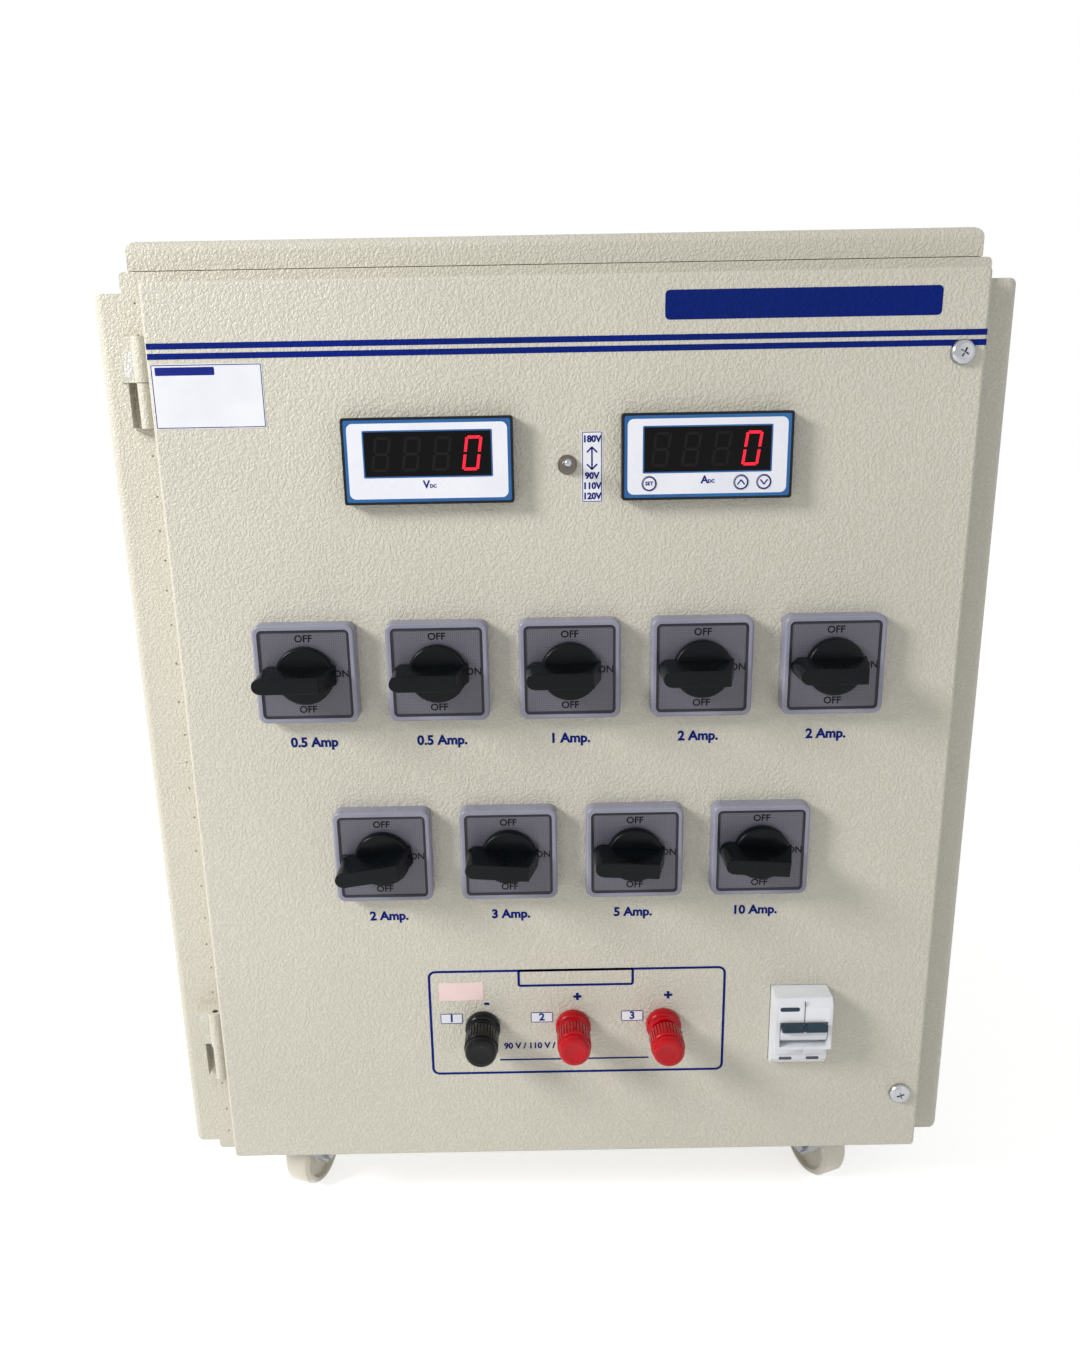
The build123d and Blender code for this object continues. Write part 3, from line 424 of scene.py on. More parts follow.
def lens_face(name, colour, line_colour):
    """A clear cover with a fine grid moulded behind it."""
    material, tree, shader = new_material(name, 0.3)
    grid = place_group(tree, "fine_grid", Lines_per_metre=900.0)
    spread = add_node(tree, "ShaderNodeMapRange", Value=grid["Mask"], From_Max=0.3)
    bump = add_node(tree, "ShaderNodeBump", Height=grid["Mask"], Strength=0.5, Distance=0.0002)
    feed(tree, add_mix(tree, spread.outputs["Result"], line_colour, colour), shader["Base Color"])
    feed(tree, bump.outputs["Normal"], shader["Normal"])
    return material


def glowing(name, colour, strength):
    material, tree, shader = new_material(name)
    shader["Base Color"].default_value = colour
    shader["Emission Color"].default_value = colour
    shader["Emission Strength"].default_value = strength
    return material


def finish_of(name):
    """A material by name, made the first time that it is asked for."""
    known = bpy.data.materials.get(f"{name}_finish")
    if known:
        return known
    if name in MOULDED:
        colour, other, values = MOULDED[name]
        return moulded(name, colour, other, **values)
    return SPECIAL[name](name)


def settings():
    return bpy.context.scene.load_bank


# Moulded, plated and painted finishes: two close screen colours, and what differs from the usual.
MOULDED = {
    "label_blue": ((16, 30, 116), (22, 38, 126), dict(smoothest=0.35, roughest=0.5, height=0.1, gloss=0.15)),
    "seam_shadow": ((146, 138, 116), (122, 114, 96), dict(smoothest=0.7, roughest=0.9, height=0.3)),
    "breaker_label": ((238, 240, 244), (230, 232, 238), dict(smoothest=0.3, roughest=0.4, height=0.05)),
    # Painted shade inside the breaker's slots; the same dark also draws the seam between the two poles.
    "slot_shade_and_seam": ((70, 74, 82), (52, 56, 64), dict(smoothest=0.5, roughest=0.7)),
    "sticker_white": ((232, 234, 240), (222, 224, 232), dict(smoothest=0.3, roughest=0.4)),
    "sticker_pink": ((236, 196, 196), (238, 214, 212), dict(smoothest=0.3, roughest=0.4)),
    "meter_black": ((12, 13, 16), (18, 19, 23), dict(smoothest=0.3, roughest=0.45, gloss=0.25)),
    "meter_blue": ((14, 86, 150), (20, 98, 160), dict(smoothest=0.25, roughest=0.35)),
    "meter_white": ((236, 237, 245), (228, 230, 240), dict(smoothest=0.25, roughest=0.35)),
    "meter_window": ((4, 4, 5), (7, 6, 7), dict(smoothest=0.08, roughest=0.18, height=0.02, gloss=0.12)),
    "digit_dark": ((26, 22, 25), (22, 18, 22), dict(smoothest=0.2, roughest=0.3, height=0.02, gloss=0.12)),
    "switch_base": ((142, 142, 158), (132, 132, 150), dict(smoothest=0.25, roughest=0.4)),
    "switch_edge": ((28, 28, 36), (42, 42, 52), dict(smoothest=0.12, roughest=0.25, height=0.05, gloss=0.25)),
    "switch_ink": ((8, 9, 14), (14, 14, 20), dict(smoothest=0.3, roughest=0.5, gloss=0.1)),
    "knob_black": ((5, 8, 10), (9, 13, 16), dict(smoothest=0.2, roughest=0.34, height=0.2, gloss=0.14)),
    "post_black": ((5, 6, 8), (10, 11, 14), dict(smoothest=0.1, roughest=0.26, height=0.1, gloss=0.2)),
    "post_red": ((184, 3, 20), (164, 2, 15), dict(smoothest=0.1, roughest=0.26, height=0.1, gloss=0.22)),
    "brass": ((205, 176, 122), (190, 160, 104), dict(smoothest=0.25, roughest=0.4, height=0.1, metallic=1.0)),
    "zinc": (
        (178, 180, 184), (150, 152, 158), dict(smoothest=0.16, roughest=0.34, height=0.15, metallic=1.0)),
    "hinge_steel": (
        (112, 106, 98), (84, 80, 74), dict(smoothest=0.25, roughest=0.45, height=0.3, metallic=1.0)),
    "breaker_white": ((228, 230, 234), (216, 219, 226), dict(smoothest=0.3, roughest=0.42)),
    "breaker_blue": ((38, 58, 72), (30, 48, 62), dict(smoothest=0.25, roughest=0.4, gloss=0.25)),
    "nylon": ((232, 228, 216), (214, 208, 192), dict(smoothest=0.35, roughest=0.55, height=0.3)),
    "foam": ((42, 42, 44), (32, 32, 34), dict(smoothest=0.8, roughest=0.95, height=1.0)),
    "enamel": ((96, 116, 92), (80, 100, 80), dict(smoothest=0.3, roughest=0.5, height=0.4)),
    "fan_black": ((30, 30, 32), (40, 40, 43), dict(smoothest=0.4, roughest=0.55, height=0.3)),
}

SPECIAL = {
    "powder_coat": lambda name: coat(
        name, (*settings().coat_colour, 1), (*(channel * 0.94 for channel in settings().coat_colour), 1)),
    "print_blue": lambda name: coat(
        name, (*settings().print_colour, 1), (0.005, 0.018, 0.16, 1), hollow_shade=0.88, height=0.3,
        roughness=0.6, gloss=0.05),
    "weld_filler": lambda name: coat(
        name, linear(222, 224, 220), linear(206, 205, 196), hollow_shade=0.92, height=0.6, pebbles=700.0),
    "switch_face": lambda name: lens_face(name, linear(104, 102, 115), linear(68, 67, 78)),
    "digit_lit": lambda name: glowing(name, linear(240, 12, 42), 0.9),
}

NODE_FINISHES = {
    "powder_coat": (
        "cabinet_body", "rear_panel", "left_side_cover", "right_side_cover", "top_cover", "door_panel",
        "hinge_body_leaves", "hinge_door_leaves"),
    "zinc": (
        "cover_screws", "caster_plates", "caster_bolts", "fan_guards", "resistor_rods", "resistor_rack",
        "lower_door_screw", "upper_door_screw", "front_left_fork", "front_right_fork", "rear_left_fork",
        "rear_right_fork"),
    "hinge_steel": ("hinge_pins", "toggle_lever", "toggle_body"),
    "nylon": ("front_left_wheel", "front_right_wheel", "rear_left_wheel", "rear_right_wheel"),
    "meter_black": ("voltmeter_case", "ammeter_case", "switch_bodies"),
    "meter_window": ("voltmeter_window", "ammeter_window"),
    "switch_base": ("switch_plates",),
    "post_red": ("post_bases", "post_cap_2", "post_cap_3"),
    "post_black": ("post_cap_1",),
    "brass": ("post_studs",),
    "breaker_white": ("breaker_body",),
    "breaker_blue": ("breaker_handle",),
    "foam": ("door_gasket",),
    "enamel": ("resistor_tubes",),
    "fan_black": ("fan_frames", "left_fan_rotor", "right_fan_rotor"),
    "knob_black": tuple(f"switch_knob_{k}" for k in range(1, 10)),
    "meter_white": ("ammeter_set_key", "ammeter_up_key", "ammeter_down_key"),
}

# ---- places on the door, in millimetres from its centre line and lower edge -------------
SWITCH_LABELS = ("0.5 Amp", "0.5 Amp.", "1 Amp.", "2 Amp.", "2 Amp.", "2 Amp.", "3 Amp.", "5 Amp.", "10 Amp.")
# Degrees that each lever leans from level.
KNOB_TURNS = (0, 0, 0, 0, 0, 8, -4, -3, -4)
# From a switch's axis down to its rating, and from a sticker up to its ink.
RATING_DROP = 45.5
INK = 0.06


def door_place(node):
    """(x, z) of a node's middle on the door, in millimetres."""
    middle = box_centre(node)
    return (middle.x - DOOR_X) / MM, (middle.z - DOOR_Z) / MM


def knob_places():
    """(x, z) of each switch's axis: a knob's round disc is as tall as the knob."""
    places = []
    for k in range(1, 10):
        low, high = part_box(f"switch_knob_{k}")
        radius = (high[2] - low[2]) / 2
        places.append(((high[0] - radius - DOOR_X) / MM, ((low[2] + high[2]) / 2 - DOOR_Z) / MM))
    return places


def print_front():
    """How far the printing stands off the door, in millimetres."""
    return settings().print_thickness / MM


def sticker_front():
    """How far the stickers stand off the door, in millimetres."""
    return settings().sticker_thickness / MM


class LoadBankSettings(bpy.types.PropertyGroup):
    """Colours, sizes and light that a user would change"""

    coat_colour: FloatVectorProperty(
        name="Coat colour", description="Colour of the powder coat", subtype="COLOR", size=3,
        min=0.0, max=1.0, default=(0.63, 0.605, 0.52))
    print_colour: FloatVectorProperty(
        name="Print colour", description="Colour of the door's printing", subtype="COLOR", size=3,
        min=0.0, max=1.0, default=(0.004, 0.016, 0.215))
    print_thickness: FloatProperty(
        name="Print thickness", description="How far the printing stands off the door",
        unit="LENGTH", default=0.00012, min=0.0)
    sticker_thickness: FloatProperty(
        name="Sticker thickness", description="How far the stickers stand off the door",
        unit="LENGTH", default=0.00018, min=0.0)
    digit_height: FloatProperty(
        name="Digit height", description="Height of the meters' digits",
        unit="LENGTH", default=0.019, min=0.001)
    key_power: FloatProperty(
        name="Key light", description="Power of the main lamp", unit="POWER", default=33.0, min=0.0)
    fill_power: FloatProperty(
        name="Fill light", description="Power of the second lamp", unit="POWER", default=3.0, min=0.0)
    world_level: FloatProperty(
        name="World level", description="Strength of the light from all round", default=0.40, min=0.0)


class PieceOperator:
    bl_options = {"REGISTER", "UNDO"}


class LOADBANK_OT_stage(PieceOperator, bpy.types.Operator):
    """Camera, floor, backdrop light and lamps"""

    bl_idname = "loadbank.stage"
    bl_label = "Stage"

    floor_glow = 0.62

    def execute(self, context):
        context.scene.view_settings.view_transform = "Standard"
        self.camera(context.scene)
        self.floor()
        self.backdrop(context.scene)
        self.lamp("key", (-1.45, -1.0, 1.35), 0.6, settings().key_power, (1.0, 0.985, 0.96))
        self.lamp("fill", (1.3, -1.6, 0.9), 1.6, settings().fill_power, (0.95, 0.97, 1.0))
        return {"FINISHED"}

    @staticmethod
    def camera(scene):
        data = bpy.data.cameras.new("camera")
        data.lens = CAMERA_LENS
        data.sensor_width = SENSOR_WIDTH
        data.clip_start = 0.05
        camera = bpy.data.objects.new("camera", data)
        scene.collection.objects.link(camera)
        camera.location = on_door(*CAMERA_SPOT)
        tilt = Matrix.Rotation(math.radians(90 - CAMERA_DOWN), 4, "X")
        roll = Matrix.Rotation(math.radians(CAMERA_ROLL), 4, "Z")
        camera.rotation_euler = (tilt @ roll).to_euler()
        scene.camera = camera

    def floor(self):
        """The floor reads as white to the camera, and keeps the object's soft shadow."""
        material, tree, shader = new_material("pale_floor", 0.9)
        shader["Base Color"].default_value = (0.93, 0.93, 0.93, 1)
        shader["Emission Color"].default_value = (1, 1, 1, 1)
        glow = add_maths(tree, "MULTIPLY", self.shown_white(tree), self.floor_glow)
        feed(tree, glow, shader["Emission Strength"])
        deselect()
        bpy.ops.mesh.primitive_plane_add(size=12, location=(0, 0, -0.0005))
        floor = keep_place()
        floor.name = "floor"
        floor.data.materials.append(material)

    def backdrop(self, scene):
        """White where it is seen, and a softer light from all round."""
        world = bpy.data.worlds.new("studio")
        world.use_nodes = True
        scene.world = world
        tree = world.node_tree
        background = tree.nodes["Background"]
        background.inputs["Color"].default_value = (1, 1, 1, 1)
        level = add_node(
            tree, "ShaderNodeMix", Factor=self.shown_white(tree), A=settings().world_level, B=1.0)
        feed(tree, level.outputs["Result"], background.inputs["Strength"])

    @staticmethod
    def shown_white(tree):
        """One for the rays that see the white: from the camera, a gloss or something clear."""
        rays = add_node(tree, "ShaderNodeLightPath").outputs
        seen = add_maths(tree, "MAXIMUM", rays["Is Camera Ray"], rays["Is Glossy Ray"])
        return add_maths(tree, "MAXIMUM", seen, rays["Is Transmission Ray"])

    @staticmethod
    def lamp(name, spot, size, power, colour):
        data = bpy.data.lights.new(name, "AREA")
        data.shape = "DISK"
        data.size = size
        data.energy = power
        data.color = colour
        lamp = bpy.data.objects.new(name, data)
        bpy.context.scene.collection.objects.link(lamp)
        lamp.location = spot
        aim = Vector((0, 0, 0.34)) - Vector(spot)
        lamp.rotation_euler = aim.to_track_quat("-Z", "Y").to_euler()


class LOADBANK_OT_finishes(PieceOperator, bpy.types.Operator):
    """Materials of the pieces that keep their CAD shape"""

    bl_idname = "loadbank.finishes"
    bl_label = "Finishes"

    def execute(self, context):
        for finish, names in NODE_FINISHES.items():
            for name in names:
                node = NODES[name]
                for slot in node.material_slots:
                    slot.material = finish_of(finish)
        return {"FINISHED"}


class LOADBANK_OT_prints(PieceOperator, bpy.types.Operator):
    """Printed stripes, plates, outlines and ratings on the door, and its stickers"""

    bl_idname = "loadbank.prints"
    bl_label = "Prints"

    def execute(self, context):
        self.printing()
        self.ratings()
        self.post_signs()
        self.stickers()
        return {"FINISHED"}

    @staticmethod
    def blue(piece, name):
        place(piece, name, "door", "powder_coat", finish_of("print_blue"))

    @staticmethod
    def ink(piece, name):
        place(piece, name, "door", "powder_coat", finish_of("label_blue"))

    def printing(self):
        front = print_front()
        stripe_width, stripe_height = 464.4, 3.2
        for name, z in (("upper", 531.0), ("lower", 525.6)):
            self.blue(slab(0.3, z, stripe_width, stripe_height, 0, 0.0, front), f"{name}_stripe")
        self.blue(slab(130.5, 548.0, 152.0, 15.5, 2.5, 0.0, front), "header_plate")
        self.blue(outline(2.75, 102.0, 194.5, 78.0, 5.0, 1.6, front), "posts_outline")
        self.blue(outline(2.0, 134.6, 76.0, 12.6, 2.0, 1.6, front), "posts_tab")
        self.blue(slab(0.6, 73.6, 99.0, 1.1, 0, 0.0, front), "posts_underline")
        voltages = lettering("90 V / 110 V / 120 V", -46.0, 84.0, 6.0, front, 0.2, align="LEFT")
        self.blue(voltages, "post_voltages")

    def ratings(self):
        for k, ((x, z), text) in enumerate(zip(knob_places(), SWITCH_LABELS), 1):
            self.blue(lettering(text, x, z - RATING_DROP, 8.4, print_front(), 0.3), f"rating_{k}")

    def post_signs(self):
        """A sign over each post, and a numbered tag beside it."""
        tag_width, tag_height = 14.5, 7.4
        for k, sign, rise in ((1, "-", 17.5), (2, "+", 20.5), (3, "+", 20.5)):
            x, z = door_place(f"post_cap_{k}")
            self.blue(lettering(sign, x + 3.0, z + rise, 9.5, print_front(), 0.45), f"polarity_{k}")
            tag_x, tag_z = x - 20.5, z + 6.0
            tag = slab(tag_x, tag_z, tag_width, tag_height, 0.4, 0.0, sticker_front())
            place(tag, f"post_tag_{k}", "door", "powder_coat", finish_of("sticker_white"))
            edge = outline(tag_x, tag_z, tag_width, tag_height, 0.5, 0.45, sticker_front() + INK / 2)
            self.ink(edge, f"post_tag_edge_{k}")
            self.ink(lettering(str(k), tag_x, tag_z, 7.4, sticker_front() + INK, 0.25), f"post_number_{k}")

    def stickers(self):
        self.sticker("rating_sticker", -200.0, 504.0, 62.0, 35.0)
        bar = slab(-212.0, 517.6, 33.0, 4.4, 0.6, sticker_front(), sticker_front() + 0.05)
        self.ink(bar, "rating_sticker_bar")
        column = 14.0
        self.sticker("voltage_sticker", column, 461.5, 12.0, 40.0)
        for k, (text, z) in enumerate((("180V", 477.0), ("90V", 456.5), ("110V", 450.8), ("120V", 445.0))):
            self.ink(lettering(text, column, z, 5.0, sticker_front() + INK, 0.22), f"voltage_{k}")
        self.ink(self.arrow(column, 466.4, 12.4), "voltage_arrow")
        note = slab(-73.0, 125.5, 29.0, 13.0, 0.3, 0.0, sticker_front())
        place(note, "note_sticker", "door", "powder_coat", finish_of("sticker_pink"))

    def sticker(self, name, x, z, width, height):
        """A white sticker with a thin line round it."""
        margin = 0.4
        piece = slab(x, z, width, height, 0.5, 0.0, sticker_front())
        place(piece, name, "door", "powder_coat", finish_of("sticker_white"))
        edge = outline(x, z, width - 2 * margin, height - 2 * margin, 0.5, 0.45, sticker_front() + 0.05)
        self.ink(edge, f"{name}_edge")

    @staticmethod
    def arrow(x, z, length):
        """An upright line with an open head at each end."""
        line, barb_length, spread = 0.9, 4.2, 1.4
        back, front = sticker_front(), sticker_front() + 0.08
        parts = [slab(x, z, line, length, 0, back, front)]
        for end in (-1, 1):
            for side in (-1, 1):
                barb_x, barb_z = x + side * spread, z + end * (length / 2 - spread)
                barb = slab(barb_x, barb_z, line, barb_length, 0, back, front)
                turn_about(barb, on_door(barb_x, barb_z), -side * end * 45)
                parts.append(barb)
        return join(parts)


class LOADBANK_OT_meters(PieceOperator, bpy.types.Operator):
    """Faces, windows, digits and keys of the two panel meters"""

    bl_idname = "loadbank.meters"
    bl_label = "Meters"

    bezel = 8.0
    border_size = (93.2, 45.2)
    face_size = (89.6, 41.6)
    window_size = (71.0, 24.5)
    window_rise = 3.9
    digit_pitch = 17.0
    last_digit = 25.0
    digit_width = 9.4
    digit_line = 1.55
    digit_lean = 8.0
    key_radius = 3.9
    key_clearance = 0.4
    ring_line = 0.55

    def execute(self, context):
        for name, unit in (("voltmeter", "V"), ("ammeter", "A")):
            x, z = door_place(f"{name}_case")
            self.face(name, x, z)
            for k in range(4):
                digit_x = x + self.last_digit - self.digit_pitch * k
                self.digit(f"{name}_digit_{k}", digit_x, z + self.window_rise, lit=k == 0)
            big = lettering(unit, x - 1.4, z - 13.2, 6.0, self.bezel, 0.16)
            small = lettering("DC", x + 2.4, z - 14.0, 2.6, self.bezel, 0.1)
            place(join([big, small]), f"{name}_unit", "door", "white_plastic", finish_of("label_blue"))
        for key in ("set", "up", "down"):
            self.key(key)
        return {"FINISHED"}

    def face(self, name, x, z):
        """A blue border, a white face, a blue line round the window, and the window's glass."""
        recess = self.bezel - 0.6
        line_width, line_height = (side + 1.6 for side in self.window_size)
        blue = slab(x, z, *self.border_size, 1.2, recess, self.bezel - 0.2)
        white = slab(x, z, *self.face_size, 3.4, recess, self.bezel - 0.1)
        line = slab(x, z + self.window_rise, line_width, line_height, 0.8, recess, self.bezel - 0.02)
        glass = slab(x, z + self.window_rise, *self.window_size, 0.3, recess, self.bezel + 0.04)
        if name == "ammeter":
            hole_radius = self.key_radius + self.key_clearance
            for key in ("set", "up", "down"):
                for sheet in (blue, white):
                    cut(sheet, turned_on_door(
                        *door_place(f"ammeter_{key}_key"), ((hole_radius, 0), (hole_radius, 12)), 40))
        place(blue, f"{name}_border", "door", "black_plastic", finish_of("meter_blue"))
        place(white, f"{name}_face", "door", "white_plastic", finish_of("meter_white"))
        place(line, f"{name}_window_line", "door", "black_plastic", finish_of("meter_blue"))
        place(glass, f"{name}_glass", "door", "window", finish_of("meter_window"))
        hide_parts(f"{name}_window")

    def digit(self, name, x, z, lit):
        """Seven leaning segments; a zero lights all but the middle one."""
        height, width, line = settings().digit_height / MM, self.digit_width, self.digit_line
        lean = math.tan(math.radians(self.digit_lean))
        front = self.bezel + (0.1 if lit else 0.06)
        bars = []
        for level in ((-1, 1) if lit else (-1, 0, 1)):
            rise = level * (height / 2 - line / 2)
            bars.append(slab(x + rise * lean, z + rise, width - 2.4, line, 0, self.bezel, front))
        middle = on_door(x, z).z
        for side in (-1, 1):
            for level in (-1, 1):
                bar = slab(
                    x + side * (width / 2 - line / 2), z + level * height / 4, line, height / 2 - 1.6, 0,
                    self.bezel, front)
                for vertex in bar.data.vertices:
                    vertex.co.x += (vertex.co.z - middle) * lean
                bars.append(bar)
        place(join(bars), name, "door", "window", finish_of("digit_lit" if lit else "digit_dark"))

    def key(self, key):
        """A flat round cap, and the ring and sign printed on it."""
        x, z = door_place(f"ammeter_{key}_key")
        front = self.bezel
        radius = self.key_radius
        cap = turned_on_door(x, z, (
            (radius, front - 1.8), (radius, front + 0.2), (radius - 0.1, front + 0.32),
            (1.0, front + 0.36)), 40)
        smooth(cap)
        place(cap, f"{key}_key_cap", f"{key}_key", "white_plastic", finish_of("meter_white"))
        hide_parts(f"ammeter_{key}_key")
        outer = radius - 0.05
        inner = outer - self.ring_line
        ring = turned_on_door(x, z, ((outer, front), (outer, front + 0.4)), 40)
        cut(ring, turned_on_door(x, z, ((inner, front - 2), (inner, front + 2)), 40))
        if key == "set":
            sign = lettering("SET", x, z, 2.9, front + 0.4, 0.1)
        else:
            sign = self.chevron(x, z, 1 if key == "up" else -1)
        for piece, part in ((ring, "ring"), (sign, "sign")):
            place(piece, f"{key}_key_{part}", f"{key}_key", "blue_plastic", finish_of("label_blue"))

    def chevron(self, x, z, rise):
        strokes = []
        for side in (-1, 1):
            stroke = slab(x + side, z, 0.75, 3.4, 0, self.bezel, self.bezel + 0.46)
            turn_about(stroke, on_door(x + side, z), -38 * side * rise)
            strokes.append(stroke)
        return join(strokes)


class LOADBANK_OT_switches(PieceOperator, bpy.types.Operator):
    """Lens faces and legends of the nine cam switches"""

    bl_idname = "loadbank.switches"
    bl_label = "Switches"

    lens_back = 9.2
    lens_width = 53.6
    neck_radius = 8.4
    word_size = 6.0
    legend = (("OFF", 0, 21.6), ("OFF", 0, -21.6), ("ON", -21.2, 0), ("ON", 21.2, 0))

    def execute(self, context):
        grey = ("door", "grey_plate")
        back = self.lens_back
        for k, (x, z) in enumerate(knob_places(), 1):
            lens = slab(x, z, self.lens_width, self.lens_width, 2.6, back, back + 0.18)
            cut(lens, turned_on_door(x, z, ((self.neck_radius, 0), (self.neck_radius, 14)), 48))
            place(lens, f"switch_lens_{k}", *grey, finish_of("switch_face"))
            edge_width = self.lens_width + 0.2
            edge = outline(x, z, edge_width, edge_width, 2.8, 1.5, back + 0.5, back)
            place(edge, f"switch_lens_edge_{k}", *grey, finish_of("switch_edge"))
            words = [
                lettering(word, x + across, z + up, self.word_size, back + 0.25, 0.1)
                for word, across, up in self.legend
            ]
            place(join(words), f"switch_legend_{k}", *grey, finish_of("switch_ink"))
        return {"FINISHED"}


class LOADBANK_OT_knobs(PieceOperator, bpy.types.Operator):
    """Lever knobs of the nine cam switches"""

    bl_idname = "loadbank.knobs"
    bl_label = "Knobs"

    seat = 9.5
    neck_radius = 7.6
    disc_radius = 17.3
    lever_length = 44.2
    lever_width = 12.0
    ridge = 35.8

    def execute(self, context):
        for k, ((x, z), turn) in enumerate(zip(knob_places(), KNOB_TURNS), 1):
            knob = join([self.disc(x, z), self.lever(x, z)])
            turn_about(knob, on_door(x, z), -turn)
            smooth(knob, 42)
            even = knob.modifiers.new("even_shade", "WEIGHTED_NORMAL")
            even.keep_sharp = True
            bpy.ops.object.modifier_apply(modifier=even.name)
            place(knob, f"lever_knob_{k}", f"knob_{k}", "black_plastic", finish_of("knob_black"))
            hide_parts(f"switch_knob_{k}")
        return {"FINISHED"}

    def disc(self, x, z):
        seat, radius = self.seat, self.disc_radius
        return turned_on_door(x, z, (
            (self.neck_radius, seat - 5.0), (self.neck_radius, seat), (radius - 0.4, seat + 0.02),
            (radius, seat + 0.5), (radius, seat + 4.4), (radius - 0.4, seat + 5.3),
            (radius - 1.3, seat + 5.9), (2.0, seat + 6.1)), 72)

    def lever(self, x, z):
        """A bar with a round nose, which narrows towards its ridge and slopes at its tail."""
        lever = slab(x - 3.5, z, self.lever_length, self.lever_width, 0, self.seat + 1.5, self.ridge)
        nose = on_door(x - 20, z).x
        tail = on_door(x + 10, z).x
        near_ridge = on_door(x, z, self.ridge - 1).y
        round_edges(lever, lambda a, b: along_y(a, b) and a.x < nose, 5.6 * MM, 8)
        choose(lever, "VERT", lambda co: co.y < near_ridge)
        bpy.ops.transform.resize(value=(0.98, 1, 0.8), center_override=on_door(x - 24, z, self.ridge))
        leave()
        choose(lever, "VERT", lambda co: co.y < near_ridge and co.x > tail)
        bpy.ops.transform.translate(value=(-5.0 * MM, 0, 0))
        leave()
        soften(lever, 0.7 * MM, 2, 40.0)
        return lever


class LOADBANK_OT_posts(PieceOperator, bpy.types.Operator):
    """Collars and knurled caps of the three binding posts"""

    bl_idname = "loadbank.posts"
    bl_label = "Posts"

    facets = 96
    cap_radius = 10.9
    button_length = 5.0

    def execute(self, context):
        for k in (1, 2, 3):
            x, z = door_place(f"post_cap_{k}")
            finish = finish_of("post_black" if k == 1 else "post_red")
            self.cap(k, x, z, finish)
            self.collar(k, x, z, finish)
        return {"FINISHED"}

    @staticmethod
    def collar(k, x, z, finish):
        piece = turned_on_door(x, z, (
            (11.2, 0.0), (11.5, 0.8), (11.5, 4.4), (11.2, 5.4), (10.4, 6.2), (9.4, 6.6),
            (8.4, 6.9), (8.0, 7.3), (8.0, 8.9), (3.2, 9.0)), 72)
        smooth(piece)
        place(piece, f"post_base_{k}", "door", "red_plastic", finish)
        if k == 2:
            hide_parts("post_bases")

    def cap(self, k, x, z, finish):
        """A waist, a knurled grip, a groove and a round button, between the CAD cap's two ends."""
        low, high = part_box(f"post_cap_{k}")
        seat = (FACE_Y - high[1]) / MM
        end = (FACE_Y - low[1]) / MM
        rim = end - self.button_length
        radius = self.cap_radius
        piece = turned_on_door(x, z, (
            (7.8, seat), (8.0, seat + 2.0), (9.6, seat + 2.5), (radius - 0.2, seat + 3.2),
            (radius, seat + 3.8), (radius, rim - 2.2), (radius - 0.5, rim - 1.5), (9.3, rim - 1.1),
            (9.2, rim - 0.6), (9.8, rim - 0.1), (10.1, rim + 0.5), (10.1, end - 2.6),
            (9.7, end - 1.3), (8.6, end - 0.4), (6.6, end - 0.1), (6.0, end - 0.35),
            (0.8, end - 0.3)), self.facets)
        self.knurl(piece, on_door(x, z), on_door(x, z, seat + 4.0).y, on_door(x, z, rim - 2.4).y)
        smooth(piece, 25)
        plastic = "black_plastic" if k == 1 else "red_plastic"
        place(piece, f"post_grip_{k}", f"post_nut_{k}", plastic, finish)
        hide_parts(f"post_cap_{k}")

    def knurl(self, piece, centre, back, front):
        """Sinks every third facet between two heights."""
        strip = 2 * math.pi / self.facets

        def groove(co, normal):
            if not (front < co.y < back and abs(normal.y) < 0.2):
                return False
            angle = math.atan2(co.z - centre.z, co.x - centre.x)
            return int(round(angle / strip - 0.5)) % 3 == 0

        choose(piece, "FACE", groove)
        bpy.ops.mesh.inset(thickness=0.04 * MM, depth=-0.9 * MM, use_individual=True)
        leave()


class LOADBANK_OT_fasteners(PieceOperator, bpy.types.Operator):
    """Cross-head door screws"""

    bl_idname = "loadbank.fasteners"
    bl_label = "Door screws"

    shank_radius = 3.0
    head_radius = 7.0
    cross_length = 7.4
    cross_width = 1.5
    cross_floor = 2.0
    turns = {"upper": 28, "lower": -20}

    def execute(self, context):
        for which, degrees in self.turns.items():
            x, z = door_place(f"{which}_door_screw")
            head = turned_on_door(x, z, (
                (self.shank_radius, -22.0), (self.shank_radius, 0.0), (self.head_radius, 0.02),
                (self.head_radius, 1.4), (6.6, 2.5), (5.7, 3.4), (4.2, 3.9), (1.0, 4.0)))
            cut(head, self.arm(x, z, self.cross_length, self.cross_width))
            cut(head, self.arm(x, z, self.cross_width, self.cross_length))
            turn_about(head, on_door(x, z), degrees)
            smooth(head, 28)
            place(head, f"{which}_screw_head", f"{which}_lock", "zinc", finish_of("zinc"))
            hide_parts(f"{which}_door_screw")
        return {"FINISHED"}

    def arm(self, x, z, width, height):
        """One arm of the cross, which narrows towards its floor."""
        arm = slab(x, z, width, height, 0, self.cross_floor, 6.0)
        choose(arm, "VERT", lambda co: co.y > on_door(x, z, self.cross_floor + 1).y)
        bpy.ops.transform.resize(value=(0.45, 1, 0.45), center_override=on_door(x, z, self.cross_floor))
        leave()
        return arm


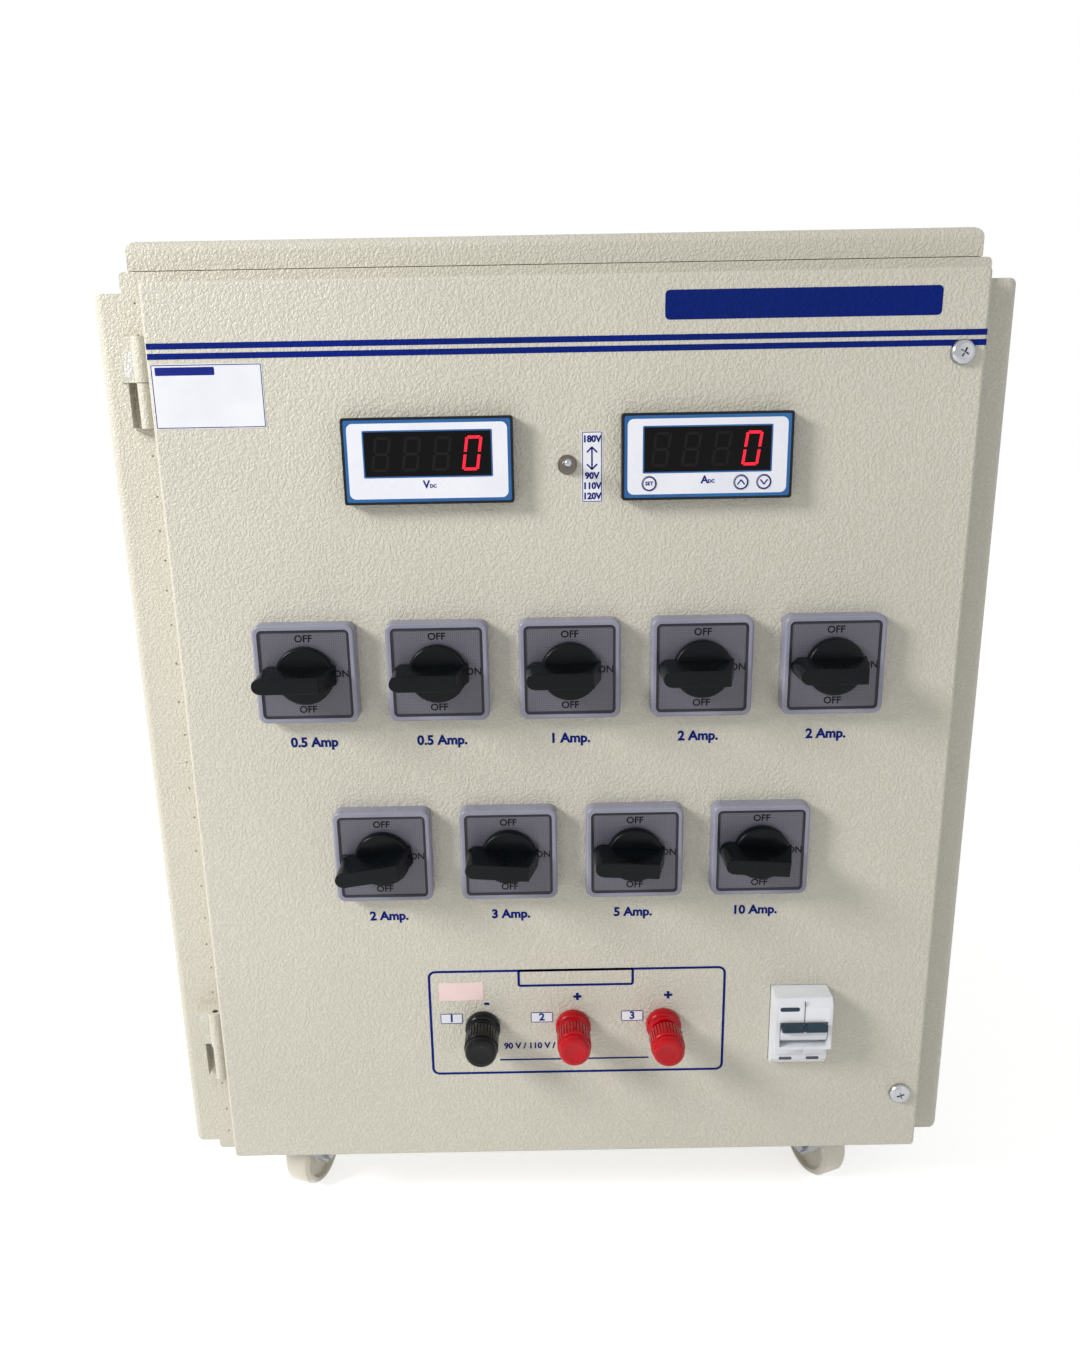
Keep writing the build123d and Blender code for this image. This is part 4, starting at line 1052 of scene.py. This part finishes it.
class LOADBANK_OT_toggle(PieceOperator, bpy.types.Operator):
    """Nut, threaded bush and bat lever of the toggle switch"""

    bl_idname = "loadbank.toggle"
    bl_label = "Toggle switch"

    bush_radius = 3.2
    thread_pitch = 0.3
    thread_turns = 5

    def execute(self, context):
        self.body(*door_place("toggle_body"))
        self.bat(*door_place("toggle_body"))
        return {"FINISHED"}

    def body(self, x, z):
        nut = turned_on_door(x, z, ((5.0, 0.3), (5.2, 0.6), (5.2, 2.3), (4.8, 2.6), (3.4, 2.6)), 6)
        soften(nut, 0.15 * MM, 2)
        washer = turned_on_door(x, z, ((5.6, 0.0), (5.6, 0.5), (4.0, 0.6)), 48)
        crest, root, start = self.bush_radius, self.bush_radius - 0.25, 2.6
        rings = [(crest, 1.0)]
        for k in range(self.thread_turns):
            height = start + self.thread_pitch * k
            rings += [(crest, height), (root, height + self.thread_pitch / 2)]
        rings += [(2.9, 4.0), (1.6, 4.0), (1.5, start), (0.5, 2.4)]
        body = join([nut, washer, turned_on_door(x, z, rings, 40)])
        smooth(body, 30)
        place(body, "toggle_nut", "door", "black_plastic", finish_of("hinge_steel"))
        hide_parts("toggle_body")

    @staticmethod
    def bat(x, z):
        """A lever that leans as the CAD lever does."""
        low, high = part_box("toggle_lever")
        pivot = on_door(x, z, 3.0)
        rise = math.atan2(high[2] - 2.4 * MM - pivot.z, pivot.y - low[1] - 0.5 * MM)
        direction = Vector((0, -math.cos(rise), math.sin(rise)))
        bat = turned(pivot, direction, (
            (1.0, 0.4), (1.15, 2.0), (1.5, 5.0), (2.1, 9.0), (2.35, 10.4), (2.1, 11.4),
            (1.3, 12.0), (0.3, 12.1)), 40)
        smooth(bat, 60)
        place(bat, "toggle_bat", "toggle", "hinge_steel", finish_of("zinc"))
        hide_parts("toggle_lever")


class LOADBANK_OT_breaker(PieceOperator, bpy.types.Operator):
    """Labels, ledges and the painted shade of slots on the breaker's nose, and its tied handle"""

    bl_idname = "loadbank.breaker"
    bl_label = "Breaker"

    body_height = 55.0
    pole_offset = 8.9
    pole_width = 14.6
    nose = 17.9
    axis_height = 30.0
    axis_proud = 11.5
    drum_radius = 6.95
    drum_length = 30.0
    handle_lean = -35

    def execute(self, context):
        x, middle = door_place("breaker_body")
        bottom = middle - self.body_height / 2
        for side, name in ((-1, "left"), (1, "right")):
            self.pole(x + side * self.pole_offset, bottom, name)
        shade_and_seam_finish, plate_finish = finish_of("slot_shade_and_seam"), finish_of("breaker_blue")
        seam = slab(x, bottom + 46.5, 0.45, 15.0, 0, self.nose - 0.4, self.nose + 0.2)
        place(seam, "pole_seam", "door", "white_plastic", shade_and_seam_finish)
        plate = slab(x - 9.6, bottom + 48.6, 12.6, 2.9, 1.4, self.nose, self.nose + 0.3)
        place(plate, "pole_plate", "door", "white_plastic", plate_finish)
        self.handle(on_door(x, bottom + self.axis_height, self.axis_proud))
        return {"FINISHED"}

    def pole(self, x, bottom, name):
        """One pole's label, sloping ledge, a dark block of painted shade for its slot, and lip."""
        white = ("door", "white_plastic", finish_of("breaker_white"))
        label = slab(x, bottom + 44.8, 15.2, 9.6, 0.4, self.nose, self.nose + 0.22)
        place(label, f"{name}_pole_label", "door", "white_plastic", finish_of("breaker_label"))
        ledge = slab(x, bottom + 14.0, self.pole_width, 9.0, 1.6, 8.5, 12.5)
        front, level = on_door(x, 0, 12.0).y, on_door(x, bottom + 13).z
        choose(ledge, "VERT", lambda co: co.y < front and co.z < level)
        bpy.ops.transform.translate(value=(0, 2.6 * MM, 0))
        leave()
        soften(ledge, 0.4 * MM, 2)
        smooth(ledge)
        place(ledge, f"{name}_pole_ledge", *white)
        # Painted shade: a dark block stands where the pole's slot is, for the shade inside it.
        slot_shade_block = slab(x, bottom + 6.4, 8.4, 2.2, 0.8, 7.0, 9.05)
        place(slot_shade_block, f"{name}_pole_slot_shade", "door", "white_plastic", finish_of("slot_shade_and_seam"))
        lip = slab(x, bottom + 3.2, self.pole_width, 2.0, 0.8, 3.0, 6.6)
        soften(lip, 0.3 * MM, 2)
        place(lip, f"{name}_pole_lip", *white)

    def handle(self, axis):
        """A pale drum with two bars on it, tied by a link."""
        radius, length = self.drum_radius, self.drum_length
        start = axis - Vector((length / 2 * MM, 0, 0))
        drum = turned(start, (1, 0, 0), (
            (radius - 0.35, 0), (radius, 0.4), (radius, length - 0.4), (radius - 0.35, length)), 48)
        smooth(drum, 35)
        place(drum, "handle_drum", "breaker_lever", "white_plastic", finish_of("breaker_white"))
        parts = []
        for side in (-1, 1):
            bar = cuboid(axis + Vector((side * 7.6, -9.2, 0)) * MM, Vector((12.6, 7.2, 5.4)) * MM)
            cut(bar, cuboid(axis + Vector((side * 4.2, -10.4, 2.0)) * MM, Vector((2.2, 1.8, 3.0)) * MM))
            parts.append(bar)
        parts.append(cuboid(axis + Vector((0, -10.0, 0)) * MM, Vector((29.0, 4.0, 4.4)) * MM))
        handle = join(parts)
        turn_about(handle, axis, self.handle_lean, "X")
        soften(handle, 0.5 * MM, 2)
        smooth(handle, 35)
        place(handle, "tied_handle", "breaker_lever", "blue_plastic", finish_of("breaker_blue"))
        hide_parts("breaker_handle")


class LOADBANK_OT_welds(PieceOperator, bpy.types.Operator):
    """Filler over the hinges' welds, and the row of spot welds down the hinge side"""

    bl_idname = "loadbank.welds"
    bl_label = "Welds"

    weld_count = 27
    weld_pitch = 0.0212
    weld_radius = 0.0006

    def execute(self, context):
        low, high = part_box("hinge_body_leaves")
        lower_top = low[2] + (high[2] - low[2]) * 0.1 + 0.002
        x, y = (low[0] + high[0]) / 2 - 0.0014, low[1] + 0.0085
        lumps = bpy.data.textures.new("filler_lumps", "CLOUDS")
        lumps.noise_scale = 0.006
        for name, top in (("upper", high[2]), ("lower", lower_top)):
            self.filler(name, Vector((x, y, top - 0.0125)), lumps)
        self.spot_welds()
        return {"FINISHED"}

    @staticmethod
    def filler(name, centre, lumps):
        lump = cuboid(centre, (0.0125, 0.0075, 0.0245))
        choose(lump, "VERT", lambda co: True)
        bpy.ops.mesh.subdivide(number_cuts=7)
        bpy.ops.mesh.vertices_smooth(factor=0.5, repeat=4)
        leave()
        displace = lump.modifiers.new("lumps", "DISPLACE")
        displace.texture = lumps
        displace.texture_coords = "OBJECT"
        displace.strength = 0.0016
        bpy.ops.object.modifier_apply(modifier=displace.name)
        smooth(lump, 80)
        place(lump, f"{name}_hinge_filler", "cabinet", "powder_coat", finish_of("weld_filler"))

    def spot_welds(self):
        """A row of dots, unevenly spaced and not quite in line."""
        low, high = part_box("cabinet_body")
        dots = []
        for k in range(self.weld_count):
            x = low[0] + 0.0075 + 0.0007 * math.sin(k * 2.4)
            z = low[2] + 0.014 + k * self.weld_pitch + 0.004 * math.sin(k * 5.3)
            deselect()
            bpy.ops.mesh.primitive_uv_sphere_add(
                segments=10, ring_count=6, radius=self.weld_radius, location=(x, low[1] - 0.0001, z),
                scale=(1, 0.35, 1.1))
            dots.append(keep_place())
        seam = join(dots)
        smooth(seam, 60)
        place(seam, "spot_welds", "cabinet", "powder_coat", finish_of("seam_shadow"))


class LOADBANK_PT_panel(bpy.types.Panel):
    """Lists the load bank's pieces"""

    bl_idname = "LOADBANK_PT_panel"
    bl_label = "Load bank"
    bl_space_type = "VIEW_3D"
    bl_region_type = "UI"
    bl_category = "Load bank"

    def draw(self, context):
        for name in LoadBankSettings.__annotations__:
            self.layout.prop(context.scene.load_bank, name)
        for operator in OPERATORS:
            self.layout.operator(operator.bl_idname)


OPERATORS = (
    LOADBANK_OT_stage,
    LOADBANK_OT_finishes,
    LOADBANK_OT_prints,
    LOADBANK_OT_meters,
    LOADBANK_OT_switches,
    LOADBANK_OT_knobs,
    LOADBANK_OT_posts,
    LOADBANK_OT_fasteners,
    LOADBANK_OT_toggle,
    LOADBANK_OT_breaker,
    LOADBANK_OT_welds,
)


def register():
    for item in (LoadBankSettings, *OPERATORS, LOADBANK_PT_panel):
        bpy.utils.register_class(item)
    bpy.types.Scene.load_bank = PointerProperty(type=LoadBankSettings)


def unregister():
    del bpy.types.Scene.load_bank
    for item in reversed((LoadBankSettings, *OPERATORS, LOADBANK_PT_panel)):
        bpy.utils.unregister_class(item)


def main():
    register()
    for operator in OPERATORS:
        category, name = operator.bl_idname.split(".")
        getattr(getattr(bpy.ops, category), name)()


if __name__ == "__main__":
    main()
